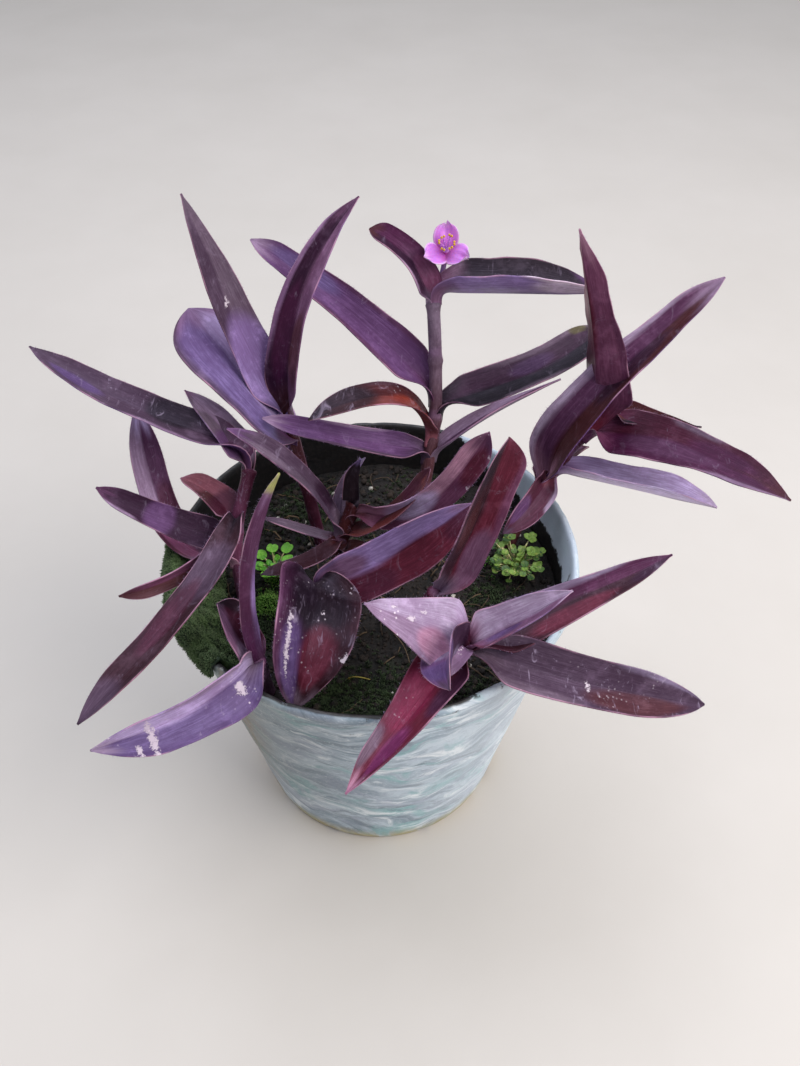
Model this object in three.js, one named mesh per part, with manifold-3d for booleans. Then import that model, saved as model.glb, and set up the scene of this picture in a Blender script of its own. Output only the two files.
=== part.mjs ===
// A purple-leaved tradescantia in a round nursery pot.
// Millimetres, +Z up. The origin is the centre of the pot's flat base, and the front of the pot faces -Y.
import * as THREE from 'three';
import { mergeVertices } from 'three/addons/utils/BufferGeometryUtils.js';
import Module from 'manifold-3d';

const wasm = await Module();
wasm.setup();

// Driving dimensions of the pot and its filling
const POT = {
  height: 124, baseRadius: 51, rimRadius: 75, lipWidth: 2.5, lipDepth: 4, wall: 1.6, floor: 1.8, sides: 48,
};
const DRAIN = { count: 8, radius: 3, firstAngle: 22.5 };
const SOIL = { top: 105, relief: 1.3, rings: 6, sides: 32 };
const GAP = 0.3;

// Stems and leaves
const STEM = { radius: 2.4, sides: 8, stepsPerJoint: 3, swelling: 0.5 };
const LEAF = { middle: 1.5, edge: 0.7, tipWidth: 1, sheath: 85, crease: 0.45, opened: 0.3 };
const LEAF_STOPS = [0, 0.1, 0.22, 0.42, 0.66, 0.88, 1];
const LEAF_COLUMNS = [-1, -0.55, 0, 0.55, 1];

const FLOWER = {
  place: [25, 57, 212], tilt: 35, petals: 3, petalLength: 9, petalWidth: 9, cup: 5, thickness: 0.7,
};

// One leaf, from four groups of numbers.
// Growth: the joint that it grows at, counted in stem points from the root, its heading, counter-clockwise
// from +X seen from above, and its rise, the slope at its root.
// Blade: length and width, taper (the share of its width that it loses on the way to the tip) and blunt
// (how far along it the tip starts to close).
// Bend: how far it droops and sways from root to tip, and hook, which above 1 brings the bend to the root.
// Trough: roll tips the blade about its own line, and fold is how far each half turns up at the edge.
function leaf([joint, heading, rise], [length, width, taper, blunt], [droop, sway, hook], [roll, fold]) {
  return { joint, heading, rise, length, width, taper, blunt, droop, sway, hook, roll, fold };
}

// Each shoot: the points that its stem grows through, and its leaves. Angles are in degrees.
const SHOOTS = {
  shoot_back_left: {
    colour: 0x6c4f7e,
    stem: [[-20, 16, 95], [-27, 28, 131], [-32, 36, 153]],
    leaves: [
      leaf([2, 155, 62], [89, 19, 0.55, 0.6], [-9, -6, 1.8], [19, 31]),
      leaf([1.6, 192, 76], [65, 32, 0, 0.75], [44, -60, 1.4], [-6, 8]),
      leaf([2, 46, 97], [89, 18.5, 0.35, 0.6], [66, -3, 1], [-8, 45]),
    ],
  },
  shoot_flowering: {
    colour: 0x5c3f68,
    stem: [[12, 14, 95], [18, 22, 133], [22, 34, 157], [22, 43, 177], [21, 51, 195]],
    leaves: [
      leaf([2.2, 148, 41], [92, 19, 0.5, 0.85], [20, 3, 1.8], [22, 36]),
      leaf([2, 13, 4], [78, 18.5, 0.2, 0.8], [-9, 27, 1], [-14, 36]),
      leaf([4, 147, 92], [35, 14, 0.3, 0.85], [70, 11, 1.8], [14, 40]),
      leaf([4, -7, 4], [59, 27, 0.1, 0.6], [5, 6, 1.2], [11, 56]),
      leaf([1.35, 191, 18], [65, 11.5, 0.4, 0.8], [0, -12, 1], [34, 34]),
      leaf([1.4, 10, 45], [57, 10.5, 0.8, 0.35], [17, -9, 1.2], [2, 48]),
      leaf([1.6, 207, 100], [66, 13, 0.2, 0.7], [108, 5, 1.6], [11, 27]),
    ],
  },
  shoot_right: {
    colour: 0x5b2f52,
    stem: [[46, 8, 95], [57, 20, 123], [71, 30, 143], [86, 37, 157]],
    leaves: [
      leaf([2.5, 221, 81], [94, 26, 0.75, 0.75], [12, -5, 1.6], [1, 37]),
      leaf([2.4, -38, 23], [87, 23, 0.65, 0.7], [14, -26, 1], [-19, 13]),
      leaf([1.3, -2, 112], [105, 25, 0.65, 0.85], [73, 24, 3], [-14, 42]),
      leaf([1.6, -32, 12], [63, 19.5, 0, 0.65], [8, 5, 1], [18, 43]),
      leaf([3, -26, 6], [33, 13.5, 0.95, 0.6], [2, 10, 1], [-12, 38]),
      leaf([1.4, 54, 29], [28, 15.5, 0.4, 0.6], [30, -21, 1.4], [18, 41]),
      leaf([1.5, 244, -16], [31, 13.5, 0.25, 0.55], [0, -21, 1.6], [50, 38]),
    ],
  },
  shoot_left: {
    colour: 0x6a4777,
    stem: [[-50, -8, 95], [-50, -1, 133], [-45, 13, 150]],
    leaves: [
      leaf([2, 176, 16], [97, 17.5, 0.4, 0.65], [5, -34, 1], [4, 37]),
      leaf([2, 139, 48], [37, 15.5, 0.45, 0.5], [27, 1, 1.2], [-7, 36]),
      leaf([0.6, 206, -35], [79, 13.5, 0.1, 0.7], [-78, -100, 3], [-8, 25]),
      leaf([0.8, 180, 16], [53, 13.5, 0.5, 0.8], [-15, -10, 1.4], [31, 25]),
      leaf([1.1, 133, 43], [28, 15.5, 0.45, 0.7], [39, 17, 1.8], [-5, 41]),
      leaf([1, -111, -17], [53, 9, 0.3, 0.8], [-31, -34, 1.4], [78, 44]),
      leaf([1, -88, -2], [97, 12.5, 0.05, 0.75], [10, -41, 2.2], [-5, 33]),
    ],
  },
  shoot_front_left: {
    colour: 0x7a5288,
    stem: [[-36, -48, 95], [-37, -53, 119], [-37, -56, 129]],
    leaves: [
      leaf([2, -114, -1], [59, 23, 0.4, 0.6], [1, -43, 2.2], [72, 47]),
      leaf([1.2, 24, 101], [86, 9, 0.1, 0.75], [37, -5, 1], [49, 34]),
      leaf([1.5, 152, 65], [29, 18, 0.15, 0.7], [-9, 14, 1.4], [-10, 26]),
    ],
  },
  shoot_centre: {
    colour: 0x60406e,
    stem: [[-16, 0, 95], [-13, 5, 123], [-8, 10, 137]],
    leaves: [
      leaf([1, 192, 80], [68, 10.5, 0, 0.65], [43, -3, 1], [13, 25]),
      leaf([1.5, -20, -16], [74, 12, 0, 0.85], [-83, 10, 2.2], [-83, 38]),
      leaf([1, -18, 24], [47, 10.5, 0.2, 0.8], [-39, 47, 1], [4, 20]),
      leaf([1.2, 105, 56], [30, 8.5, 0.3, 0.7], [36, -51, 1.8], [23, 43]),
      leaf([0.8, -20, 30], [18, 9, 0.4, 0.6], [60, 0, 1], [0, 40]),
      leaf([2, -65, 100], [26, 12, 0.4, 0.6], [35, 5, 1], [-30, 45]),
      leaf([0.9, 242, 3], [36, 7, 0.15, 0.7], [-8, -35, 1.6], [11, 27]),
      leaf([0.9, 189, 28], [31, 6, 0.2, 0.65], [-1, -6, 1.4], [-5, 31]),
    ],
  },
  shoot_centre_low: {
    colour: 0x6b3336,
    stem: [[-16, -26, 95], [-18, -23, 117], [-20, -21, 125]],
    leaves: [
      leaf([2, -76, 39], [54, 34, 0.25, 0.4], [102, -38, 1.4], [34, 23]),
      leaf([1.6, 6, 6], [64, 22.5, 0.05, 0.55], [-30, 8, 2.2], [-65, 36]),
    ],
  },
  shoot_centre_right: {
    colour: 0x6b2a3c,
    stem: [[14, -23, 95], [17, -27, 121], [21, -30, 133]],
    leaves: [
      leaf([2, 16, 72], [66, 17, 0, 0.85], [0, 13, 1.2], [-86, 44]),
    ],
  },
  shoot_front_right: {
    colour: 0x69405f,
    stem: [[24, -46, 95], [27, -51, 121], [30, -56, 137]],
    leaves: [
      leaf([2, 193, 46], [42, 27, 0.9, 0.85], [10, -6, 1.2], [30, 9]),
      leaf([1.8, -127, 65], [33, 20.5, 0.15, 0.55], [67, 45, 1], [-54, 44]),
      leaf([1.6, 22, 6], [79, 19.5, 0.7, 0.75], [-4, 2, 1.6], [-25, 39]),
      leaf([2, -1, 30], [39, 20, 0.5, 0.55], [-13, 8, 1.8], [-8, 62]),
      leaf([1.6, -16, -15], [87, 20.5, 0.2, 0.65], [4, 24, 1], [-29, 44]),
      leaf([1.4, -121, 0], [60, 23, 0.75, 0.75], [22, -16, 1], [-1, 47]),
    ],
  },
};

const radians = THREE.MathUtils.degToRad;
const smooth = (from, to, x) => THREE.MathUtils.smoothstep(x, from, to);
const mix = THREE.MathUtils.lerp;
const vector = (point) => new THREE.Vector3(...point);

// ---------------------------------------------------------------- solids

function toSolid(geometry) {
  const bare = geometry.clone();
  bare.deleteAttribute('normal');
  bare.deleteAttribute('uv');
  const merged = mergeVertices(bare, 1e-4);
  const vertProperties = new Float32Array(merged.attributes.position.array);
  const triVerts = new Uint32Array(merged.index.array);
  return new wasm.Manifold(new wasm.Mesh({ numProp: 3, vertProperties, triVerts }));
}

function toGeometry(solid) {
  const { vertProperties, triVerts } = solid.getMesh();
  const geometry = new THREE.BufferGeometry();
  geometry.setAttribute('position', new THREE.BufferAttribute(vertProperties, 3));
  geometry.setIndex(new THREE.BufferAttribute(triVerts, 1));
  geometry.computeVertexNormals();
  return geometry;
}

// One body from several that run into each other, without specks where two faces only graze.
function fuse(geometries) {
  const whole = geometries.map(toSolid).reduce((joined, solid) => joined.add(solid));
  const bodies = whole.decompose();
  return toGeometry(bodies.reduce((largest, body) => (body.volume() > largest.volume() ? body : largest)));
}

// A closed skin over a row of rings. A ring runs left to right over the top and right to left underneath,
// seen along the row, so its points pair up across it. Top and bottom are split into triangles alike.
function loft(rings) {
  const count = rings[0].length;
  const half = count / 2;
  const points = rings.flat();
  const faces = [];
  for (let ring = 0; ring < rings.length - 1; ring += 1) {
    for (let k = 0; k < count; k += 1) {
      const near = ring * count + k;
      const nearNext = ring * count + ((k + 1) % count);
      const far = near + count;
      const farNext = nearNext + count;
      if (k < half) {
        faces.push(near, nearNext, farNext, near, farNext, far);
      } else {
        faces.push(near, nearNext, far, nearNext, farNext, far);
      }
    }
  }
  const last = (rings.length - 1) * count;
  for (let k = 0; k < half - 1; k += 1) {
    const below = count - 1 - k;
    faces.push(k, below, k + 1, k + 1, below, below - 1);
    faces.push(last + k, last + k + 1, last + below, last + k + 1, last + below - 1, last + below);
  }
  const geometry = new THREE.BufferGeometry();
  geometry.setAttribute('position', new THREE.Float32BufferAttribute(points.flatMap((p) => p.toArray()), 3));
  geometry.setIndex(faces);
  geometry.computeVertexNormals();
  return geometry;
}

// A tube of the given radii along a row of points.
function tube(points, radii, sides) {
  const rings = points.map((point, i) => {
    const before = points[Math.max(i - 1, 0)];
    const after = points[Math.min(i + 1, points.length - 1)];
    const along = after.clone().sub(before).normalize();
    const reference = Math.abs(along.y) > 0.9 ? new THREE.Vector3(1, 0, 0) : new THREE.Vector3(0, 1, 0);
    const side = along.clone().cross(reference).normalize();
    const up = side.clone().cross(along);
    return Array.from({ length: sides }, (_, k) => {
      const angle = Math.PI - ((k + 0.5) * 2 * Math.PI) / sides;
      return point.clone()
        .addScaledVector(side, radii[i] * Math.cos(angle))
        .addScaledVector(up, radii[i] * Math.sin(angle));
    });
  });
  return loft(rings);
}

// ---------------------------------------------------------------- stems and leaves

function stemLine(shoot) {
  return new THREE.CatmullRomCurve3(shoot.stem.map(vector), false, 'centripetal');
}

function stemPlace(shoot, joint) {
  const line = stemLine(shoot);
  const along = joint / (shoot.stem.length - 1);
  return { point: line.getPoint(along), direction: line.getTangent(along) };
}

function stemTube(shoot, clearance) {
  const joints = shoot.stem.length - 1;
  const steps = joints * STEM.stepsPerJoint;
  const points = stemLine(shoot).getPoints(steps);
  points[0].addScaledVector(points[1].clone().sub(points[0]).normalize(), -clearance);
  const radii = points.map((_, i) => {
    const swell = i > 0 && i % STEM.stepsPerJoint === 0 ? STEM.swelling : 0;
    return STEM.radius + swell + clearance;
  });
  return tube(points, radii, STEM.sides);
}

// Half the blade's width from its root to its tip, as a share of the widest place.
function bladeOutline(leaf, t) {
  const opening = 0.65 + 0.35 * Math.sin((Math.PI / 2) * Math.min(t / LEAF.opened, 1));
  const narrowing = 1 - (leaf.taper * Math.max(t - 0.2, 0)) / 0.8;
  const closing = 1 - (Math.max(t - leaf.blunt, 0) / (1 - leaf.blunt)) ** 2.2;
  return opening * narrowing * Math.max(closing, 0) ** 0.85;
}

// How much of the leaf's whole bend lies behind the place t.
function bent(leaf, t) {
  return 1 - (1 - t) ** leaf.hook;
}

function leafHeading(leaf, t) {
  return radians(leaf.heading + leaf.sway * bent(leaf, t));
}

function leafDirection(leaf, stemDirection, t) {
  const heading = leafHeading(leaf, t);
  const rise = radians(leaf.rise - leaf.droop * bent(leaf, t));
  const free = new THREE.Vector3(
    Math.cos(rise) * Math.cos(heading),
    Math.cos(rise) * Math.sin(heading),
    Math.sin(rise),
  );
  return stemDirection.clone().lerp(free, smooth(0, 0.14, t)).normalize();
}

// The blade's middle line: points and directions at each stop, from its root on the stem.
function leafSpine(shoot, leaf) {
  const place = stemPlace(shoot, leaf.joint);
  const heading = radians(leaf.heading);
  const outward = new THREE.Vector3(Math.cos(heading), Math.sin(heading), 0);
  outward.addScaledVector(place.direction, -outward.dot(place.direction)).normalize();
  const point = place.point.clone().addScaledVector(outward, STEM.radius);
  const pieces = 60;
  const spine = [];
  for (let i = 0; i <= pieces; i += 1) {
    const direction = leafDirection(leaf, place.direction, i / pieces);
    spine.push({ point: point.clone(), direction });
    point.addScaledVector(leafDirection(leaf, place.direction, (i + 0.5) / pieces), leaf.length / pieces);
  }
  return LEAF_STOPS.map((t) => spine[Math.round(t * pieces)]);
}

// One cross-section of the blade: a trough that wraps the stem at the root and opens along the blade.
function leafRing(leaf, { point, direction }, t) {
  const heading = leafHeading(leaf, t);
  const level = new THREE.Vector3(Math.sin(heading), -Math.cos(heading), 0);
  const side = level.addScaledVector(direction, -level.dot(direction)).normalize();
  const up = side.clone().cross(direction);
  const roll = radians(leaf.roll) * smooth(0, 0.2, t);
  const across = side.clone().multiplyScalar(Math.cos(roll)).addScaledVector(up, Math.sin(roll));
  const above = up.clone().multiplyScalar(Math.cos(roll)).addScaledVector(side, -Math.sin(roll));

  const sheathTurn = radians(LEAF.sheath);
  const turn = mix(sheathTurn, radians(leaf.fold), smooth(0, 0.22, t));
  const sheathWidth = STEM.radius * sheathTurn;
  const bladeWidth = Math.max((leaf.width / 2) * bladeOutline(leaf, t), LEAF.tipWidth / 2);
  const halfWidth = mix(sheathWidth, bladeWidth, smooth(0, 0.2, t));

  const flatStart = turn * LEAF.crease;
  const top = [];
  const bottom = [];
  for (const q of LEAF_COLUMNS) {
    const hand = Math.sign(q);
    const angle = turn * (LEAF.crease + (1 - LEAF.crease) * Math.abs(q));
    const scale = halfWidth / (turn * (1 - LEAF.crease));
    const x = hand * (Math.sin(angle) - Math.sin(flatStart)) * scale;
    const y = (Math.cos(flatStart) - Math.cos(angle)) * scale;
    const middle = point.clone().addScaledVector(across, x).addScaledVector(above, y);
    const lean = hand * angle;
    const outwards = above.clone().multiplyScalar(Math.cos(lean)).addScaledVector(across, -Math.sin(lean));
    const thickness = mix(LEAF.middle, LEAF.edge, Math.abs(q));
    top.push(middle.clone().addScaledVector(outwards, thickness / 2));
    bottom.push(middle.clone().addScaledVector(outwards, -thickness / 2));
  }
  return [...top, ...bottom.reverse()];
}

function leafBlade(shoot, leaf) {
  return loft(leafSpine(shoot, leaf).map((place, i) => leafRing(leaf, place, LEAF_STOPS[i])));
}

function leafyShoot(shoot) {
  return [stemTube(shoot, 0), ...shoot.leaves.map((leaf) => leafBlade(shoot, leaf))];
}

// ---------------------------------------------------------------- pot and soil

function insideRadius(z) {
  const top = POT.rimRadius - POT.lipWidth;
  return mix(POT.baseRadius - POT.wall, top, z / POT.height);
}

function potGeometry() {
  const { height, baseRadius, rimRadius, lipWidth, lipDepth, wall, floor, sides } = POT;
  const underLip = height - lipDepth;
  const profile = [
    [0, 0],
    [baseRadius - 1.2, 0],
    [baseRadius, 1.2],
    [insideRadius(underLip) + wall, underLip],
    [rimRadius - 0.4, underLip],
    [rimRadius, underLip + 1],
    [rimRadius, height - 1],
    [rimRadius - 0.6, height],
    [rimRadius - lipWidth + 0.6, height],
    [insideRadius(height - 1), height - 1],
    [insideRadius(floor), floor],
    [0, floor],
  ].map(([r, z]) => new THREE.Vector2(r, z));
  const body = toSolid(new THREE.LatheGeometry(profile, sides).rotateX(Math.PI / 2));
  const holes = Array.from({ length: DRAIN.count }, (_, i) => {
    const hole = new THREE.CylinderGeometry(DRAIN.radius, DRAIN.radius, 8, 12);
    hole.translate(0, baseRadius - 1, 0);
    hole.rotateZ(radians(DRAIN.firstAngle + (360 * i) / DRAIN.count));
    return toSolid(hole);
  });
  return toGeometry(holes.reduce((pot, hole) => pot.subtract(hole), body));
}

// Height of the uneven top of the soil.
function soilTop(x, y) {
  const waves = Math.sin(x * 0.13 + 1) + Math.sin(y * 0.17 - x * 0.05) + Math.sin(x * 0.09 - y * 0.11 + 2);
  return SOIL.top + (SOIL.relief * waves) / 2;
}

function soilGeometry() {
  const bottom = POT.floor + GAP;
  const { rings, sides } = SOIL;
  const spot = (ring, k) => {
    const radius = ((insideRadius(SOIL.top) - GAP - 0.2) * ring) / rings;
    const angle = (k * 2 * Math.PI) / sides;
    return [radius * Math.cos(angle), radius * Math.sin(angle)];
  };
  const points = [0, 0, soilTop(0, 0)];
  for (let ring = 1; ring <= rings; ring += 1) {
    for (let k = 0; k < sides; k += 1) {
      const [x, y] = spot(ring, k);
      points.push(x, y, ring === rings ? SOIL.top : soilTop(x, y));
    }
  }
  const shrink = (insideRadius(bottom) - GAP - 0.2) / (insideRadius(SOIL.top) - GAP - 0.2);
  for (let k = 0; k < sides; k += 1) {
    const [x, y] = spot(rings, k);
    points.push(x * shrink, y * shrink, bottom);
  }
  points.push(0, 0, bottom);
  const faces = [];
  const base = 1 + rings * sides;
  const centre = base + sides;
  for (let k = 0; k < sides; k += 1) {
    const next = (k + 1) % sides;
    faces.push(0, 1 + k, 1 + next);
    for (let ring = 0; ring < rings; ring += 1) {
      const inner = 1 + ring * sides;
      const outer = inner + sides;
      faces.push(inner + k, outer + k, outer + next, inner + k, outer + next, inner + next);
    }
    faces.push(base + next, base + k, centre);
  }
  const geometry = new THREE.BufferGeometry();
  geometry.setAttribute('position', new THREE.Float32BufferAttribute(points, 3));
  geometry.setIndex(faces);
  const stems = Object.values(SHOOTS).map((shoot) => toSolid(stemTube(shoot, GAP)));
  return toGeometry(stems.reduce((soil, stem) => soil.subtract(stem), toSolid(geometry)));
}

// ---------------------------------------------------------------- flower

const flowerCentre = vector(FLOWER.place);
const flowerTilt = new THREE.Euler(radians(FLOWER.tilt), 0, 0);

function placeFlower(geometry) {
  return geometry
    .applyMatrix4(new THREE.Matrix4().makeRotationFromEuler(flowerTilt))
    .translate(...FLOWER.place);
}

function petal(turn) {
  const { petalLength, petalWidth, cup, thickness } = FLOWER;
  const rings = [0, 0.25, 0.5, 0.75, 0.92, 1].map((t) => {
    const width = Math.max((petalWidth / 2) * Math.sin(Math.PI * (0.12 + 0.8 * t) ** 0.9), 0.6);
    const out = petalLength * t;
    const lift = cup * Math.sin(Math.PI * t * 0.5);
    const points = [-1, -0.4, 0.4, 1].map((q) => {
      const wave = 0.6 * Math.sin(q * 4 + t * 5) * t;
      return new THREE.Vector3(out, -q * width, lift + wave + 0.9 * Math.abs(q) * t);
    });
    const under = points.map((p) => p.clone().setZ(p.z - thickness)).reverse();
    return [...points, ...under];
  });
  return loft(rings).rotateZ(turn);
}

function petalsGeometry() {
  const heart = new THREE.CylinderGeometry(1.8, 1.2, 2, 10).rotateX(Math.PI / 2).translate(0, 0, -0.4);
  const blades = Array.from({ length: FLOWER.petals }, (_, i) => petal(radians(90) + (2 * Math.PI * i) / 3));
  return placeFlower(fuse([heart, ...blades]));
}

function stamensGeometry() {
  const floor = 0.6 + GAP;
  const disc = new THREE.CylinderGeometry(1.1, 1.1, 0.8, 8).rotateX(Math.PI / 2).translate(0, 0, floor + 1.2);
  const pieces = [disc];
  for (let i = 0; i < 6; i += 1) {
    const angle = (i * Math.PI) / 3;
    const start = new THREE.Vector3(0.5 * Math.cos(angle), 0.5 * Math.sin(angle), floor + 1.2);
    const end = new THREE.Vector3(2.6 * Math.cos(angle), 2.6 * Math.sin(angle), floor + 6 + (i % 2));
    pieces.push(tube([start, end], [0.35, 0.35], 4));
    pieces.push(new THREE.OctahedronGeometry(0.9).translate(...end.toArray()));
  }
  return placeFlower(fuse(pieces));
}

// The stalk that carries the bloom grows out of the top of the flowering stem.
function flowerStalk() {
  const root = vector(SHOOTS.shoot_flowering.stem.at(-1));
  root.z -= 3;
  const axis = new THREE.Vector3(0, 0, 1).applyEuler(flowerTilt);
  const top = flowerCentre.clone().addScaledVector(axis, -1.4 - GAP);
  const elbow = top.clone().addScaledVector(axis, -4);
  const middle = root.clone().lerp(elbow, 0.5);
  return tube([root, middle, elbow, top], [1.1, 1, 1, 1.3], 6);
}

// ---------------------------------------------------------------- moss and seedlings

// A bank of moss along the wall that climbs from the soil and spills over the rim. Across it run two skins, one
// along the pot and one in the open, both from the foot on the soil to the hem outside.
function mossBank({ from, to, steps, foot, hem, thickness }) {
  const floor = SOIL.top + SOIL.relief * 1.5 + GAP;
  const wallFoot = insideRadius(floor) - GAP - 0.2;
  const lipInside = insideRadius(POT.height) - GAP - 0.2;
  const lipOutside = POT.rimRadius + GAP + 0.2;
  const top = POT.height + GAP;
  const rings = Array.from({ length: steps + 1 }, (_, i) => {
    const share = i / steps;
    const angle = radians(mix(from, to, share));
    const fullness = Math.sin(Math.PI * mix(0.08, 0.92, share)) ** 0.4;
    const knob = (k) => 1 + 0.22 * Math.sin(7 * k + 31 * share) + 0.12 * Math.sin(3 * k - 53 * share);
    const spread = thickness * fullness;
    const low = top - hem * fullness;
    const open = [
      [wallFoot - foot * fullness, floor + 1],
      [wallFoot - foot * fullness * 0.55, floor + 6 * fullness * knob(1)],
      [lipInside - spread * 0.9 * knob(2), top - 2],
      [lipInside, top + spread * 0.45 * knob(3)],
      [lipOutside, top + spread * 0.4 * knob(4)],
      [lipOutside + spread * 0.6 * knob(5), top - 2.5],
      [lipOutside + 0.9, low],
    ];
    const pot = [
      [wallFoot - foot * fullness + 1, floor],
      [wallFoot, floor],
      [lipInside, top - 1],
      [lipInside + 0.4, top],
      [lipOutside - 0.4, top],
      [lipOutside, top - 0.6],
      [lipOutside, low + 0.3],
    ];
    return [...open, ...pot.reverse()].map(([r, z]) => new THREE.Vector3(
      r * Math.cos(angle),
      r * Math.sin(angle),
      z,
    ));
  });
  return loft(rings);
}

// A seedling: thin stalks that fan out of one root, each with a small round leaf.
function seedling({ x, y, leaves, reach, height, leafSize }) {
  const floor = SOIL.top + SOIL.relief * 1.5 + GAP;
  const root = new THREE.Vector3(x, y, floor);
  const crown = new THREE.CylinderGeometry(0.9, 1.3, 2.4, 6).rotateX(Math.PI / 2);
  const pieces = [crown.translate(x, y, floor + 1.2)];
  for (let i = 0; i < leaves; i += 1) {
    const angle = i * 2.4;
    const spread = reach * (0.55 + 0.45 * Math.sin(i * 1.7) ** 2);
    const lift = height * (0.6 + 0.4 * Math.cos(i * 2.1) ** 2);
    const tip = root.clone().add(new THREE.Vector3(spread * Math.cos(angle), spread * Math.sin(angle), lift));
    const start = root.clone().setZ(floor + 1.2);
    pieces.push(tube([start, tip], [0.5, 0.45], 4));
    const leaf = new THREE.CylinderGeometry(leafSize, leafSize * 0.7, 0.8, 6).rotateX(Math.PI / 2 - 0.4);
    pieces.push(leaf.rotateZ(angle).translate(...tip.toArray()));
  }
  return fuse(pieces);
}

// ---------------------------------------------------------------- materials and the whole part

function material(color, roughness) {
  return new THREE.MeshStandardMaterial({ color, roughness, metalness: 0 });
}

const part = new THREE.Group();

function addPiece(name, geometry, color, roughness) {
  const mesh = new THREE.Mesh(geometry, material(color, roughness));
  mesh.name = name;
  part.add(mesh);
}

addPiece('pot', potGeometry(), 0xa9b8c4, 0.6);
addPiece('soil', soilGeometry(), 0x1d1815, 1);
for (const [name, shoot] of Object.entries(SHOOTS)) {
  const pieces = leafyShoot(shoot);
  if (name === 'shoot_flowering') {
    pieces.push(flowerStalk());
  }
  addPiece(name, fuse(pieces), shoot.colour, 0.55);
}
addPiece('flower_petals', petalsGeometry(), 0xc98ae0, 0.6);
addPiece('flower_stamens', stamensGeometry(), 0xe6c34a, 0.6);
const moss = { from: 170, to: 226, steps: 16, foot: 13, hem: 9, thickness: 3 };
addPiece('moss_left', mossBank(moss), 0x2f4a22, 1);
const brightTuft = { x: -38, y: 1, leaves: 8, reach: 6, height: 9, leafSize: 2.6 };
addPiece('weed_left', seedling(brightTuft), 0x5d9a35, 0.8);
const cloverPatch = { x: 53, y: 4, leaves: 9, reach: 11, height: 10, leafSize: 2.8 };
addPiece('weed_right', seedling(cloverPatch), 0x5a8a3c, 0.8);

export default part;
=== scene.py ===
"""A purple-leaved tradescantia in a weathered nursery pot.

Sizes are in millimetres. The origin is the centre of the pot's flat base, +Z is up and the front faces -Y.
"""
import math
import bpy
import numpy as np
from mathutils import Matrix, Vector, noise


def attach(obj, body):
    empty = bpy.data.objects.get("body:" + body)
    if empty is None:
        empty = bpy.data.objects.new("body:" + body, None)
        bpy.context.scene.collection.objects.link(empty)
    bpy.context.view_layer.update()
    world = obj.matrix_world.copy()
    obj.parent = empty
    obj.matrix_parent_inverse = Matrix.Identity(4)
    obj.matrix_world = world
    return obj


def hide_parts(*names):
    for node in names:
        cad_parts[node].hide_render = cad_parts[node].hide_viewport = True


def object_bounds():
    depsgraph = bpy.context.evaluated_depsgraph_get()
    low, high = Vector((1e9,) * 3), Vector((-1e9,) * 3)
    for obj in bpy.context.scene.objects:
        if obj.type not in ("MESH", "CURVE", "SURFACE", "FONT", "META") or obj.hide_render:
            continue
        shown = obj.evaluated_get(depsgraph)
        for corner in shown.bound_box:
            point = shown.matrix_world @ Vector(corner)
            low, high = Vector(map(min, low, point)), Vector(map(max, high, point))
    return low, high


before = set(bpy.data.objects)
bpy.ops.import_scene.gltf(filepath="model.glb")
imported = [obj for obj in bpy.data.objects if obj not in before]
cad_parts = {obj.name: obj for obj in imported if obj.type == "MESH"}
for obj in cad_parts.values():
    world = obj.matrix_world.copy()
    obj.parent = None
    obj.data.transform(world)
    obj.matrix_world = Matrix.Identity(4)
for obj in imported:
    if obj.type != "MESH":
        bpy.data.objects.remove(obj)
cad_low, cad_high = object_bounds()

MM = 0.001

# ---------------------------------------------------------------- driving dimensions

POT_HEIGHT = 124
POT_BASE_RADIUS = 51
POT_RIM_RADIUS = 75
LIP_WIDTH = 2.5
LIP_DEPTH = 4
POT_WALL = 1.6
POT_FLOOR = 1.8
DRAIN_HOLES = 8
DRAIN_RADIUS = 3
DRAIN_REACH = 4
DRAIN_FIRST_ANGLE = 22.5
DIRT_BAND = 14

SOIL_TOP = 105
SOIL_RELIEF = 1.3
SOIL_GAP = 0.5

STEM_RADIUS = 2.4
STEM_SWELLING = 0.5

LEAF_MIDDLE = 1.3
LEAF_EDGE = 0.45
LEAF_TIP_WIDTH = 0.8
SHEATH_TURN = 85
CREASE = 0.45
OPENED = 0.3
LEAF_STEPS = 60
LEAF_COLUMNS = [0, 0.05, 0.12, 0.22, 0.34, 0.47, 0.6, 0.73, 0.85, 0.94, 0.985, 1]

FLOWER_PLACE = (25, 57, 212)
FLOWER_TILT = 35
PETAL_LENGTH = 9
PETAL_WIDTH = 9
PETAL_CUP = 5
PETALS = 3
STAMENS = 6

# Small things: how many, and the seeds of the random draws that place them
STEM_HAIRS = 130
EDGE_HAIRS_PER_MM = 1.1
CRUMBS = 3400
PERLITE_BITS = 26
FIBRES = 110
BANK_TUFTS = 4200
STAMEN_HAIRS = 26
HAIR_RADIUS = 0.035
CRUMB_SEED = 401
STAMEN_SEED = 77
MOSS_SEED = 512

# The camera: its place in metres, how far it looks down, and its focal length in pixels of the photograph
CAMERA_PLACE = (0.0092, -0.24345, 0.37625)
CAMERA_DIP = 45.11
FOCAL_PIXELS = 950
PHOTO_HEIGHT = 1066
SENSOR_HEIGHT = 36

# ---------------------------------------------------------------- colours

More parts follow.
